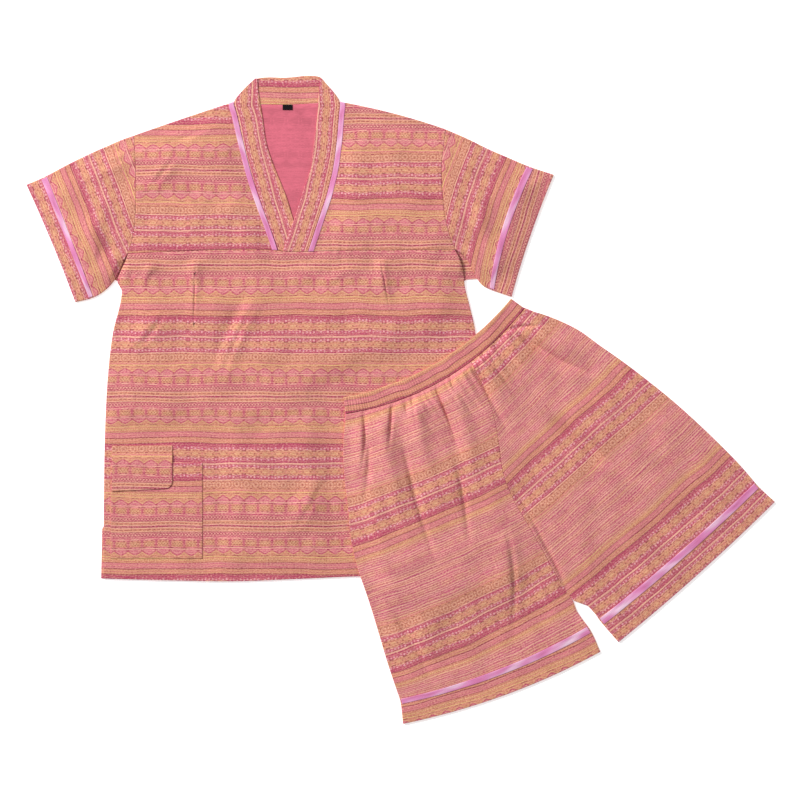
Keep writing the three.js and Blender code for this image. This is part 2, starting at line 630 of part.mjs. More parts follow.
function legRow(leg, down, count, shift) {
  const from = legEdge(leg, 'outer', down);
  const to = legEdge(leg, 'inner', down).add(at2(shift, 0));
  return across(from, to, steps(count), at2(0, -read(leg, 'sag', down)));
}

// Front and back of a leg over the same plan points, the hem band and its ribbon
function addLeg(side) {
  const sign = side === 'left' ? -1 : 1;
  const leg = side === 'left' ? LEG_LEFT : LEG_RIGHT;
  const row = (down) => legRow(leg, down, LEG_STEPS.across, sign * CURVED_SEAM / 2);
  const downs = [...steps(LEG_STEPS.down).map((share) => share * CROTCH), ABOVE_RIBBON];
  const seamLine = row(1);
  const inward = row(ABOVE_RIBBON);
  const rows = [...downs.map(row), beside(seamLine, inward, RIBBON / 2), beside(seamLine, inward, SEAM / 2)];
  addBody(shorts, `leg_front_${side}`, JACQUARD, laid(rows, shortsLevel));
  addBody(shorts, `leg_back_${side}`, JACQUARD, laid(rows, shortsBase));
  const near = EDGE_INSET / seamLine[0].distanceTo(seamLine[LEG_STEPS.across]);
  const edged = (line) => withEdges(line, near);
  const names = { band: `hem_band_${side}`, ribbon: `hem_ribbon_${side}` };
  addBanded(shorts, names, edged(inward), edged(seamLine), edged(row(LEG_HEM)), shortsBase, shortsLevel);
}

// The same row with a point close to each end, where a tube folds over
function withEdges(row, near) {
  const last = row.length - 1;
  const first = row[0].clone().lerp(row[1], near * last);
  const end = row[last].clone().lerp(row[last - 1], near * last);
  return [row[0], first, ...row.slice(1, -1), end, row[last]];
}

addBack();
addYoke('left');
addYoke('right');
addCollar();
addBody(top, 'front_lower', JACQUARD, laid(lowerFrontGrid(), frontLevel));
addPocket();
addLabel();
addSleeve('left');
addSleeve('right');
addWaistband();
addLeg('left');
addLeg('right');

shorts.position.set(SHORTS_PLACE.x, SHORTS_PLACE.y, 0);
shorts.rotation.z = SHORTS_TURN;
const set = new THREE.Group();
set.add(top, shorts);
set.updateMatrixWorld(true);
const extent = new THREE.Box3().setFromObject(set, true);
const middle = extent.getCenter(new THREE.Vector3());
set.position.set(-middle.x, -middle.y, -extent.min.z);

export default set;
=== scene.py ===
"""Short-sleeved wrap-neck top laid flat on a table, with gathered shorts lying over its lower corner.

Each cut piece is a thin shell on the form of its solid, with finer folds, worked out in millimetres in
its garment's own frame: the top's from the middle of its yoke seam, the shorts' from the middle of their
waist. Its jacquard is charted in the material, on cloth coordinates that give the place along a woven
row and across the rows. Left and right are those of someone looking down on the set.
"""
import math

import bpy
import numpy as np
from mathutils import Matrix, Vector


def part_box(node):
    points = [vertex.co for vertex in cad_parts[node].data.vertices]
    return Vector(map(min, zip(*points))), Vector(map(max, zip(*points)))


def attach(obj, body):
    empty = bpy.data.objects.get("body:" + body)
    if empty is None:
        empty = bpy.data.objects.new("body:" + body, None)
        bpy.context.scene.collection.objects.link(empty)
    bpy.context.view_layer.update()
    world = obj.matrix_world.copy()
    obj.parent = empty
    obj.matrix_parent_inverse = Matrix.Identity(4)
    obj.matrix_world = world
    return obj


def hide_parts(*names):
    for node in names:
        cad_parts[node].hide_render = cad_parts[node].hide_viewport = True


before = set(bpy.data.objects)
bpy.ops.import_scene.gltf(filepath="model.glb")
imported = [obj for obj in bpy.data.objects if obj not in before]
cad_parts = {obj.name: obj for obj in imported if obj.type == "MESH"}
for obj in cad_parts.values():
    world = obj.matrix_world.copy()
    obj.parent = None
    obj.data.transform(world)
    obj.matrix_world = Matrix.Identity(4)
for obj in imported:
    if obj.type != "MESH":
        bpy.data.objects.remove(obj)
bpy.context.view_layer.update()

MM = 0.001

SIGN = {"left": -1, "right": 1}

# Cloth and the way its layers lie on each other
WALL = 1.5
RIBBON_WALL = 0.6
POCKET_WALL = 1
POCKET_GAP = 0.1
SEAM = 0.3
LAYER = WALL + SEAM
STACK = 2 * LAYER
LIP = WALL / 2                  # radius of a cut or hemmed edge
FOLD = LAYER / 2                # radius of a folded edge, at the middle of the cloth
BILLOW = 4.5                    # how far the top's front stands off its back between its edges
SHORTS_BILLOW = 7.5
FINER = 1.5                     # the cloth folds deeper than its solid
EASE = 45                       # distance from an edge over which it rises to that
CALM = (20, 60)                 # relief starts and is full at these distances from the shorts and the pocket

# Trim
RIBBON = 9
COLLAR_RIBBON = 8
LABEL = {"width": 15, "height": 8, "x": -8.3, "y": 217.6, "wall": 0.8}
POCKET = {"left": -274, "right": -136, "top": -316, "bottom": -460}
FLAP = {"left": -272, "right": -181, "top": -290, "bottom": -359,
        "flat": 6, "rise": 21, "corner": 12, "slant": 4}

# Where the garments lie in the set
SHORTS_PLACE = (201.4, -143.6)
SHORTS_TURN = math.radians(30.5)
STEP = (12, 60)                 # the shorts come down to the table between these distances from the top
TOP_AT = np.array([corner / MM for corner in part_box("pocket")[0][:2]]) - (POCKET["left"], POCKET["bottom"])


def table(names, rows):
    """A table with named columns, as one array for each column."""
    return dict(zip(names.split(), np.array(rows, dtype=float).T))


# Body under the yoke seam: how far down, and its two side edges
BODY = table("down left right", [
    (0, -247.5, 243),
    (14, -252.5, 250),
    (28, -259.5, 254.5),
    (42, -263.5, 256.5),
    (56, -257, 258),
    (86, -262, 265.5),
    (116, -270, 272.5),
    (160, -276, 277.5),
    (220, -280.5, 281.5),
    (310, -283.5, 285),
    (412, -284.5, 287.5),
    (489, -286, 289.5),
])
VENT = {"down": 412, "beyond": 2.5}
PIT = {"down": 42, "left": 0.44, "right": 0.6, "outs": (0.3, 0.14), "under": 3}
UNDERARMS = [(-262, -28), (262, -20)]
UNDERARM_RISE = 5.5
UNDERARM_REACH = 26
UNDERARM_EDGE = (0.3, 9)        # share of the rise at the very edge, and the distance over which it is full
SEEN_BESIDE = 3                 # the back shows its outer side from this far inside the front's edge

# Armholes from the yoke seam up to the shoulder
ARMHOLES = table("at leftX leftY rightX rightY", [
    (0, -249, -2, 244, 4),
    (0.12, -242, 16, 237, 19),
    (0.3, -237, 46, 229, 48),
    (0.5, -235.5, 84, 224.7, 85),
    (0.75, -236, 128, 223, 131),
    (1, -238.5, 175.5, 229.5, 184.5),
])

# Collar bands at heights above the yoke seam: their seams to the yokes and their folded inner edges
COLLAR = table("up leftSeam leftFold rightFold rightSeam", [
    (0, -23, 15, -15.3, 22.5),
    (28, -31.5, 6.5, -6.5, 31.5),
    (57, -42, -2, 4.2, 41),
    (82, -51, -9.6, 12, 49.3),
    (102, -57.7, -17.5, 18, 54.4),
    (125, -64.5, -27, 26, 59.7),
    (163, -74, -40, 31, 65),
    (206, -84, -46.5, 36.5, 68.7),
    (226, -88.5, -50, 37.5, 69.8),
    (239, -79.5, -52, 38.6, 62),
    (250, -69, -53, 39.3, 52.5),
    (261, -57, -53.8, 39.8, 42.5),
])
NECK_TOP = 226
COLLAR_TOP = 261
SHOULDER_ARCH = {"left": 0.5, "right": 3.5}
NECK_OUTLINE = [(-88.5, 226), (-57, 261), (40, 262), (69.8, 226)]
CROSSING = (62, 100)            # the right band lies on the left one below these heights
CROSSING_STEP = (-42, -16)      # where the cloth beside it steps up
CROSSING_FADE = 30
BACK_NECK = table("x bottom top", [
    (-86, 224, 228),
    (-72, 223.2, 245),
    (-56, 222.5, 260.5),
    (-10, 221.8, 262.5),
    (39, 224.5, 263.8),
    (54, 226, 247),
    (67, 228, 230),
])

# Lines that run across the body
YOKE_SEAM = table("x y", [
    (-260, -2.4), (-165, 1.6), (-94, 4), (-35, 3.6), (0, 0.4), (60, 2.2), (150, 3), (255, 4),
])
HEM = table("x y", [
    (-300, -489.5), (-190, -492.6), (-87, -494), (20, -490), (110, -486.5), (300, -487.5),
])

# Sleeves from the armhole out to the seam of the cuff band, and the cuff's edge
SLEEVES = {
    "left": table("out topX topY underX underY bow", [
        (0, -238.5, 175.5, -249, -3, 0),
        (0.14, -257, 169, -256.5, -17, 0),
        (0.3, -279, 159.5, -262.5, -31, 0),
        (0.48, -304, 148.5, -270, -44.5, 0),
        (0.72, -336, 133, -284.5, -59, 0),
        (1, -374, 113, -302.5, -69, -1),
        (1.25, -400.5, 101.5, -327, -75, -2),
    ]),
    "right": table("out topX topY underX underY bow", [
        (0, 229.5, 184.5, 244, 4, 0),
        (0.14, 247, 177, 256.5, -5.5, -2),
        (0.3, 266, 168.5, 265.5, -17.5, -4),
        (0.48, 290, 156.5, 273, -33, -6),
        (0.72, 322, 142.5, 282.5, -48, -8),
        (1, 355.5, 128.5, 297.5, -56.5, -8.5),
        (1.25, 391.5, 116.5, 328, -67, -3.5),
    ]),
}
CUFF_EDGE = 1.25
SLEEVE_END = 0.999
CUFF_START = 1.0013
SLEEVE_RIBBON = (0.967, 1.04)
ARMHOLE_GAP = 0.1
ARMHOLE_HOLD = 0.6              # how far out the armhole's curve still shows in the sleeve

# Waistband: half width and curve of its two edges
WAIST_TOP = {"half": 146, "edge": 0, "middle": -26}
WAIST_SEAM = {"half": 156, "edge": -23, "middle": -53.5}
BAND_RIBS = 80
RIB_HEIGHT = 1.15
BAND_BULGE = 0.5

# Legs from the waist seam down to the seam of the hem band, and the hem's edge
LEGS = {
    "left": table("down outerX outerY innerX innerY sag", [
        (0, -156, -23.3, 46, -51.1, 12.8),
        (0.12, -186, -67, 43, -92, 9),
        (0.24, -207, -107, 34, -138, 6),
        (0.36, -224, -146, 18, -182, 4),
        (0.48, -244, -188, 2, -222, 4),
        (0.6, -258, -233, -4, -265, 4),
        (0.7, -267, -276, -4.5, -309, 5),
        (0.8, -277.5, -321, -5, -352, 7),
        (0.9, -290, -371, -6, -395, 9),
        (0.96, -297.5, -405, -4, -437, 11),
        (0.978, -300.5, -420, -7, -456, 11.5),
        (1, -304, -436, -4, -487, 12),
        (1.1, -318, -468, -7.5, -525, 12),
    ]),
    "right": table("down outerX outerY innerX innerY sag", [
        (0, 155.4, -23.3, 46, -51.1, 3.8),
        (0.12, 183, -54, 43, -92, 3),
        (0.24, 208, -90, 34, -138, 2),
        (0.36, 225, -128, 18, -182, 1),
        (0.48, 244, -170, 2, -222, 0),
        (0.6, 261, -212, -4, -265, 0),
        (0.7, 276, -252, -4.5, -309, 0),
        (0.8, 289, -292, -5, -352, 1),
        (0.9, 302, -337, -6, -395, 2),
        (0.96, 313, -380, -4, -437, 3),
        (0.978, 317.5, -402, 11.5, -457, 3.5),
        (1, 322, -428, 15.5, -486, 4),
        (1.1, 332.5, -464, 23, -526.5, 4),
    ]),
}
LEG_HEM = 1.1
LEG_END = 0.9998
HEM_START = 1.0004
HEM_RIBBON = (0.995, 1, 1.0118)
LEG_GAP = 0.04
UNDER_BAND = 2.5                # how far the backs reach under the waistband
CROTCH_OUTLINE = [(23, -526), (15, -486), (-4, -437), (-4, -487), (-8, -525)]

# Small gathers: height, pitch, reach from the seam and shift along it
YOKE_GATHERS = [(0.5, 17, 16, 0)]
WAIST_GATHERS = [(1.9, 12, 34, 0), (0.9, 6.2, 15, 7)]

# Shares of the shorts' relief: at the waistband, with the distance over which it is full, and at the hem
BAND_BILLOW = (0.55, 30)
BAND_HOLD = (0.1, 9)
HEM_BILLOW = 0.25
HEM_FALL = (290, 450)           # down between these distances

# Folds: from one end to the other, bent sideways in the middle, highest at the crest, troughs below zero
FOLD_COLUMNS = "x0 y0 x1 y1 bend width height crest"
TOP_FOLDS = table(FOLD_COLUMNS, [
    (-146, -8, -150, -125, 0, 9, 2.6, 0.1),
    (131, -8, 147, -110, 0, 9, 2.6, 0.1),
    (-212, -14, -224, -74, 0, 9, 3, 0.2),
    (-42, -50, -112, -225, 10, 12, 3.2, 0.35),
    (-58, -50, -124, -205, 10, 11, -2.2, 0.35),
    (-186, -70, -252, -160, -6, 13, 3, 0.5),
    (30, -62, 108, -20, 0, 11, 2.5, 0.5),
    (222, -12, 250, -64, 0, 12, 3, 0.3),
    (78, -290, -14, -446, 0, 15, 2.6, 0.5),
    (-100, 206, -206, 172, -10, 10, 3, 0.4),
    (-206, 168, -330, 118, -6, 12, 3, 0.5),
    (-165, 154, -224, 82, 0, 12, 2.8, 0.5),
    (120, 140, 216, 78, 0, 12, 2.6, 0.5),
    (90, 214, 150, 197, 0, 8, 2, 0.5),
    (-276, 92, -302, -36, 8, 14, 2.6, 0.5),
    (-262, 20, -318, -42, 0, 12, -2, 0.3),
    (262, 120, 286, -20, -8, 15, 2.6, 0.5),
    (250, 60, 312, -30, 0, 12, -2, 0.3),
    (-20, -240, -170, -268, 10, 22, 1.6, 0.5),
    (190, -150, 120, -262, 0, 20, 2, 0.5),
])
SHORTS_FOLDS = table(FOLD_COLUMNS, [
    (-131, -36, -236, -190, -16, 12, -1.8, 0.15),
    (-147, -42, -226, -138, -10, 12, 3, 0.15),
    (-88, -48, -160, -325, 0, 12, -1.6, 0.1),
    (-110, -48, -186, -300, 6, 13, 3.6, 0.12),
    (-66, -50, -86, -92, 0, 8, -2.2, 0),
    (-52, -50, -104, -250, 10, 13, 3.8, 0.15),
    (-16, -52, -110, -312, -12, 11, -1.7, 0.3),
    (4, -50, -60, -250, -10, 13, 3.6, 0.25),
    (26, -48, 18, -120, 0, 10, 2.4, 0),
    (46, -60, 36, -200, 0, 10, -2.6, 0.1),
    (66, -44, 74, -170, 6, 12, 3.4, 0.1),
    (90, -42, 110, -104, 0, 9, -2.6, 0),
    (108, -38, 142, -150, 6, 12, 3, 0.1),
    (124, -32, 212, -180, 12, 12, -3.4, 0.25),
    (146, -30, 226, -160, 8, 13, 3, 0.3),
    (92, -146, 186, -360, 4, 16, -2.4, 0.4),
    (126, -150, 222, -350, 6, 18, 2.8, 0.4),
    (-246, -262, -254, -430, -6, 15, -2.2, 0.5),
    (-214, -262, -222, -430, -6, 18, 2.4, 0.5),
    (-22, -262, -128, -462, -10, 16, 2.8, 0.3),
    (-40, -300, -60, -440, 0, 18, -2, 0.5),
    (60, -300, 60, -450, 12, 20, 2.4, 0.5),
])

# Finer creases that the solids leave out, in the same columns
TOP_CREASES = table(FOLD_COLUMNS, [
    (-146, -12, -149, -124, 0, 1.5, -1.3, 0.4),
    (130, -4, 146, -92, 0, 1.5, -1.5, 0.4),
    (-240, -18, -246, -66, 0, 3, -2.4, 0.3),
    (-210, -26, -222, -64, 0, 5, -1.8, 0.3),
    (-47, -64, -113, -220, 9, 5, -2.4, 0.4),
    (-186, -78, -248, -156, -6, 5, -2.2, 0.5),
    (34, -57, 96, -26, 4, 6, -1.6, 0.6),
    (226, -18, 249, -57, 0, 5, -2, 0.3),
    (74, -302, -10, -440, 0, 5, -2, 0.4),
    (-96, 207, -218, 160, -8, 5, -2.2, 0.5),
    (-218, 158, -326, 120, -6, 5, -2, 0.5),
    (-171, 150, -218, 88, 0, 5, -2, 0.5),
    (128, 135, 212, 81, 0, 5, -2, 0.5),
    (96, 214, 142, 200, 0, 4, -1.4, 0.5),
    (-272, -370, -274, -462, 0, 4, -1.4, 0.5),
])
SHORTS_CREASES = table(FOLD_COLUMNS, [
    (-127, -26, -197, -128, -6, 3, -4.2, 0.12),
    (-80, -34, -134, -112, 0, 2.8, -4.4, 0.12),
    (-53, -38, -76, -100, 0, 2.6, -3, 0.1),
    (-18, -44, -43, -178, -3, 2.8, -4, 0.15),
    (9, -44, -2, -92, 0, 2.6, -2.6, 0.1),
    (66, -38, 84, -124, 3, 3, -3.4, 0.15),
    (106, -34, 196, -78, -5, 3, -4, 0.3),
    (-134, -42, -232, -181, -12, 5, -2.6, 0.3),
    (-100, -90, -160, -321, 4, 4.5, -2.4, 0.3),
    (-70, -54, -82, -83, 0, 3, -1.6, 0.2),
    (-48, -160, -108, -306, -6, 4.5, -2.4, 0.35),
    (46, -62, 37, -196, 0, 4, -1.8, 0.2),
    (91, -50, 106, -94, 0, 3.5, -1.8, 0.3),
    (125, -42, 210, -175, 10, 5, -2.8, 0.35),
    (93, -149, 184, -354, 4, 6, -2.4, 0.3),
    (-245, -270, -252, -462, -6, 6, -2, 0.4),
    (-29, -273, -125, -456, -12, 5, -2.2, 0.4),
    (161, -31, 174, -47, 0, 3, -1.4, 0.3),
    (6, -205, -5, -455, -3, 3.5, -3.2, 0.85),
])

# Rows of the jacquard, in millimetres across them from one pale line to the next
REPEAT = 190
ROW_CENTRE = 91                 # the dark line about which the middle rows are mirrored
MOTIF = 21                      # repeat along a row
LOOP = 14                       # that of the rings
WEFT_RIB = 3.3                  # from one thick weft to the next
WANDER = 7                      # how far rows stray, at the most
FRONT_ROWS = table("down row", [
    (-270, -388), (-20, -138), (0, -118), (19.5, -99), (126, 0), (217, 91), (316, 190), (411, 281),
    (500, 367),
])
LEG_ROWS = {
    "left": {"pale": -188, "grows": 1, "hem": 55.5},
    "right": {"pale": -238.5, "grows": -1, "hem": -46},
}


def read(rows, column, wanted):
    """A column of a table at any places along its first column: a cubic through the rows whose slope at
    each row is that of the line between the rows on both sides of it."""
    keys, values = next(iter(rows.values())), rows[column]
    each = np.arange(len(keys))
    before, after = np.maximum(each - 1, 0), np.minimum(each + 1, len(keys) - 1)
    slope = (values[after] - values[before]) / (keys[after] - keys[before])
    place = np.clip(np.asarray(wanted, dtype=float), keys[0], keys[-1])
    i = np.clip(np.searchsorted(keys, place, side="right") - 1, 0, len(keys) - 2)
    span = keys[i + 1] - keys[i]
    u = (place - keys[i]) / span
    along = values[i] + (values[i + 1] - values[i]) * u * u * (3 - 2 * u)
    return along + span * (u * (1 - u) ** 2 * slope[i] - u * u * (1 - u) * slope[i + 1])


def smooth(value, low, high):
    """Rises from 0 at low to 1 at high, level at both ends."""
    t = np.clip((value - low) / (high - low), 0, 1)
    return t * t * (3 - 2 * t)


def mix(a, b, share):
    return a + (b - a) * share


def point(x, y):
    """Plan places from two arrays of any shapes that go together."""
    return np.stack(np.broadcast_arrays(x, y), axis=-1).astype(float)


def parted(plan):
    return plan[..., 0], plan[..., 1]


def arch(t):
    """Parabola from 0 at both ends to 1 in the middle."""
    return 4 * t * (1 - t)


def outside(outline, plan):
    """Distance of each place from a closed outline, below zero inside it: the least distance from its
    sides, inside where a line to the right crosses an odd number of them."""
    ax, ay = outline.T
    bx, by = np.roll(outline, -1, axis=0).T
    x, y = plan[..., 0, None], plan[..., 1, None]
    share = np.clip(((x - ax) * (bx - ax) + (y - ay) * (by - ay)) / ((bx - ax) ** 2 + (by - ay) ** 2), 0, 1)
    gap = np.hypot(x - ax - share * (bx - ax), y - ay - share * (by - ay)).min(axis=-1)
    spans = (ay > y) != (by > y)
    height = np.where(by == ay, 1, by - ay)
    crossed = spans & (x < ax + (y - ay) / height * (bx - ax))
    return np.where(crossed.sum(axis=-1) % 2 == 1, -gap, gap)


def folds(rows, plan):
    """Height that the folds of a table add: each is a bell across its bent line, and rises from its two
    ends to its crest."""
    total = np.zeros(plan.shape[:-1])
    for x0, y0, x1, y1, bend, width, height, crest in zip(*rows.values()):
        length = math.hypot(x1 - x0, y1 - y0)
        ex, ey = (x1 - x0) / length, (y1 - y0) / length
        dx, dy = plan[..., 0] - x0, plan[..., 1] - y0
        t = (dx * ex + dy * ey) / length
        side = dx * ey - dy * ex - bend * arch(t)
        rise = smooth(t, 0, crest) if crest > 0 else 1
        share = np.where((t > 0) & (t < 1), rise * (1 - smooth(t, crest, 1)), 0)
        total += height * share * np.exp(-((side / width) ** 2))
    return total


def across(start, end, t, bow=(0, 0)):
    """Rows from start to end, with a parabola as high as bow in the middle."""
    bow = np.asarray(bow, dtype=float)
    return mix(start, end, t[..., None]) + bow * arch(t)[..., None]


# Edges of the top and of the shorts in plan
def armhole(side, share):
    return point(read(ARMHOLES, f"{side}X", share), read(ARMHOLES, f"{side}Y", share))


def yoke_seam(x):
    return read(YOKE_SEAM, "y", x)


def sleeve_edge(side, edge, out):
    return point(read(SLEEVES[side], f"{edge}X", out), read(SLEEVES[side], f"{edge}Y", out))


def leg_edge(side, edge, down):
    return point(read(LEGS[side], f"{edge}X", down), read(LEGS[side], f"{edge}Y", down))


def top_outline():
    downs = np.linspace(PIT["down"], BODY["down"][-1], 12)
    outs = np.linspace(PIT["outs"][-1], CUFF_EDGE, 7)
    left = point(read(BODY, "left", downs), -downs)[::-1]
    right = point(read(BODY, "right", downs), -downs)
    arms = {side: np.concatenate([
        sleeve_edge(side, "under", outs), sleeve_edge(side, "top", outs)[::-1], sleeve_edge(side, "top", [0]),
    ]) for side in SLEEVES}
    return np.concatenate([left, arms["left"], NECK_OUTLINE, arms["right"][::-1], right])


def shorts_outline(above):
    downs = np.linspace(0, LEG_HEM, 12)
    waist = point([-WAIST_TOP["half"], 0, WAIST_TOP["half"]], [above, WAIST_TOP["middle"] + above, above])
    outer = {side: leg_edge(side, "outer", downs) for side in LEGS}
    return np.concatenate([waist, outer["right"], CROTCH_OUTLINE, outer["left"][::-1]])


TOP_OUTLINE = top_outline()
SHORTS_OUTLINE = shorts_outline(0)
HELD_OUTLINE = shorts_outline(100)      # the cloth isn't pressed flat along the waistband
COS, SIN = math.cos(SHORTS_TURN), math.sin(SHORTS_TURN)
TURN = np.array([[COS, -SIN], [SIN, COS]])


def to_top(plan):
    """Places of the shorts' frame in the top's."""
    return plan @ TURN.T + SHORTS_PLACE


def to_shorts(plan):
    return (plan - SHORTS_PLACE) @ TURN


def collar_seam(side, up):
    return point(read(COLLAR, f"{side}Seam", up), up)


# Heights of the layers
def undulation(plan, seed):
    """Slow unevenness of cloth that has been smoothed by hand: a few waves that cross at odd angles."""
    x, y = parted(plan)
    waves = [(0.071, 0.019, 0.45), (-0.034, 0.062, 0.4), (0.118, -0.057, 0.22), (0.043, 0.131, 0.2)]
    total = 0
    for k, (fx, fy, height) in enumerate(waves):
        total = total + height * np.sin(fx * x + fy * y + seed + 1.7 * k + 1.3 * np.sin(0.011 * (x - y) + k))
    return total


def pucker(x, away, rows):
    """Small gathers beside a stitched line: uneven waves along it that die out away from it."""
    total = 0
    for height, pitch, reach, shift in rows:
        along = x + shift
        uneven = along / pitch * 2 * math.pi + 1.9 * np.sin(along / 37) + 1.1 * np.sin(along / 14.3 + 2)
        strength = 0.55 + 0.45 * np.sin(along / 53 + 1)
        total = total + height * np.sin(uneven) * strength * np.exp(-np.maximum(away, 0) / reach)
    return total


def relief(billow, tables, plan, seed, gathers):
    """How far the cloth stands off what it lies on, away from its edges."""
    deep = FINER * sum(folds(rows, plan) for rows in tables)
    return np.maximum(billow + deep + undulation(plan, seed) + gathers, 0)


def calm(plan):
    """Share of the relief that is left beside the collar, under the shorts and around the pocket."""
    x, y = parted(plan)
    above = np.maximum(y, 0)
    beyond = np.maximum(read(COLLAR, "leftSeam", above) - x, x - read(COLLAR, "rightSeam", above))
    from_band = np.hypot(np.maximum(beyond, 0), np.maximum(-y, 0))
    dx = np.maximum(np.maximum(POCKET["left"] - x, x - POCKET["right"]), 0)
    dy = np.maximum(np.maximum(POCKET["bottom"] - y, y - FLAP["top"]), 0)
    pocket = smooth(np.hypot(dx, dy), *CALM)
    pressed = smooth(outside(SHORTS_OUTLINE, to_shorts(plan)), *CALM)
    return smooth(from_band, 0, EASE) * pressed * pocket


def crossing_rise(plan):
    """The right side's step up where its collar band lies on the left one."""
    x, y = parted(plan)
    beyond = x - read(COLLAR, "rightSeam", np.maximum(y, 0))
    below, aside = smooth(-y, 0, CROSSING_FADE), smooth(beyond, 0, CROSSING_FADE)
    return LAYER * (1 - smooth(y, *CROSSING)) * (1 - below) * (1 - aside) * smooth(x, *CROSSING_STEP)


def underarm_rise(plan):
    """The cloth stands up beside the underarms, where body and sleeve are bent apart."""
    inward = -outside(TOP_OUTLINE, plan)
    rise = sum(np.exp(-((plan - spot) ** 2).sum(axis=-1) / UNDERARM_REACH ** 2) for spot in UNDERARMS)
    return UNDERARM_RISE * rise * mix(UNDERARM_EDGE[0], 1, smooth(inward, 0, UNDERARM_EDGE[1]))


def front_level(plan):
    """Underside of the top's front layer."""
    ease = smooth(-outside(TOP_OUTLINE, plan), 0, EASE) * calm(plan)
    x, y = parted(plan)
    gathers = pucker(x, np.abs(y - yoke_seam(x)), YOKE_GATHERS)
    stand = ease * relief(BILLOW, (TOP_FOLDS, TOP_CREASES), plan, 0, gathers)
    return LAYER + np.maximum(stand, crossing_rise(plan)) + underarm_rise(plan)


def back_level(plan):
    return np.zeros(plan.shape[:-1])


def band_level(plan):
    return LAYER * (2 - smooth(plan[..., 1], *CROSSING))


def shorts_base(plan):
    """Underside of the shorts' back layer, which lies on the top and comes down to the table beyond it."""
    spot = to_top(plan)
    dx = np.maximum(spot[..., 0] - read(BODY, "right", -spot[..., 1]), 0)
    dy = np.maximum(read(HEM, "y", spot[..., 0]) - spot[..., 1], 0)
    return STACK * (1 - smooth(np.hypot(dx, dy), *STEP))


def waist_edge(line, x):
    return mix(line["middle"], line["edge"], (x / line["half"]) ** 2)


def shorts_level(plan):
    """Underside of the shorts' front layer."""
    x, y = parted(plan)
    ease = smooth(-outside(HELD_OUTLINE, plan), 0, EASE)
    from_band = waist_edge(WAIST_SEAM, x) - y
    at_band = mix(BAND_BILLOW[0], 1, smooth(from_band, 0, BAND_BILLOW[1]))
    billow = SHORTS_BILLOW * at_band * mix(1, HEM_BILLOW, smooth(-y, *HEM_FALL))
    stand = relief(billow, (SHORTS_FOLDS, SHORTS_CREASES), plan, 2, pucker(x, from_band, WAIST_GATHERS))
    held = mix(BAND_HOLD[0], 1, smooth(from_band, 0, BAND_HOLD[1]))
    return shorts_base(plan) + LAYER + held * ease * stand


# Shells
def stations(count, length):
    """Shares along an edge, even but for two more close to each end, where the cloth's edge is rounded."""
    near = np.array([0, LIP * 0.3, LIP]) / length
    return np.concatenate([near, np.linspace(0, 1, count + 1)[1:-1], (1 - near)[::-1]])


def rim(share, length):
    """Half thickness of the cloth as a share of the full one: a quarter circle over the last lip."""
    depth = np.minimum(share, 1 - share) * length / LIP
    return np.sqrt(1 - (1 - np.clip(depth, 0, 1)) ** 2)


def lay_top(middle):
    """Middle surface of a piece of the top, in the set's frame."""
    return np.concatenate([middle[..., :2] + TOP_AT, middle[..., 2:]], axis=-1)


def lay_shorts(middle):
    return np.concatenate([to_top(middle[..., :2]) + TOP_AT, middle[..., 2:]], axis=-1)


def add_cloth(name, middle, half, cloth, finishes, ring=False):
    """Closed shell about a middle surface. Its two faces stand half a wall off along the normals and
    meet at the rim, where the half thickness is nothing. In a ring the last column joins the first, and
    cloth has one column more than middle. finishes are those of the upper and of the under face."""
    rows, columns = middle.shape[:2]
    down = np.gradient(middle, axis=0)
    along = np.gradient(middle, axis=1)
    if ring:
        along = np.roll(middle, -1, axis=1) - np.roll(middle, 1, axis=1)
    normal = np.cross(along, down)
    normal /= np.linalg.norm(normal, axis=-1, keepdims=True)
    upright = normal[:, 1:max(columns // 2, 2), 2].mean() > 0
    normal = normal if upright else -normal
    over = np.arange(rows * columns).reshape(rows, columns)
    edge = np.zeros((rows, columns), dtype=bool)
    edge[[0, -1]] = True
    if not ring:
        edge[:, [0, -1]] = True
    under = np.where(edge, over, over + rows * columns)
    i, j = np.mgrid[:rows - 1, :columns if ring else columns - 1].reshape(2, -1)
    corner_rows = np.stack([i, i, i + 1, i + 1], axis=-1)
    corner_columns = np.stack([j, j + 1, j + 1, j], axis=-1)
    if not upright:
        corner_rows, corner_columns = corner_rows[:, ::-1], corner_columns[:, ::-1]
    both_rows = np.concatenate([corner_rows, corner_rows[:, ::-1]])
    both_columns = np.concatenate([corner_columns, corner_columns[:, ::-1]])
    wrapped = corner_columns % columns
    faces = np.concatenate([over[corner_rows, wrapped], under[corner_rows, wrapped][:, ::-1]])
    shift = normal * half[..., None]
    points = np.concatenate([(middle + shift).reshape(-1, 3), (middle - shift).reshape(-1, 3)]) * MM
    used, faces = np.unique(faces, return_inverse=True)
    faces = faces.reshape(-1, 4)
    mesh = bpy.data.meshes.new(name)
    mesh.from_pydata(points[used].tolist(), [], faces.tolist())
    uv = mesh.uv_layers.new(name=CLOTH_MAP)
    uv.data.foreach_set("uv", (cloth[both_rows, both_columns] * MM).ravel())
    for finish in dict.fromkeys(finishes):
        mesh.materials.append(finish)
    if finishes[0] != finishes[1]:
        mesh.polygons.foreach_set("material_index", np.repeat([0, 1], len(faces) // 2))
    mesh.polygons.foreach_set("use_smooth", np.ones(len(faces), dtype=bool))
    return add_object(name, mesh)


CLOTH_MAP = "cloth"


def finish_piece(piece, node):
    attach(piece, "root")
    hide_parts(node)
    return piece


def lengths(plan):
    """Mean length of a plan grid down its rows and along them."""
    down = np.linalg.norm(np.diff(plan, axis=0), axis=-1).sum(axis=0).mean()
    along = np.linalg.norm(np.diff(plan, axis=1), axis=-1).sum(axis=1).mean()
    return down, along


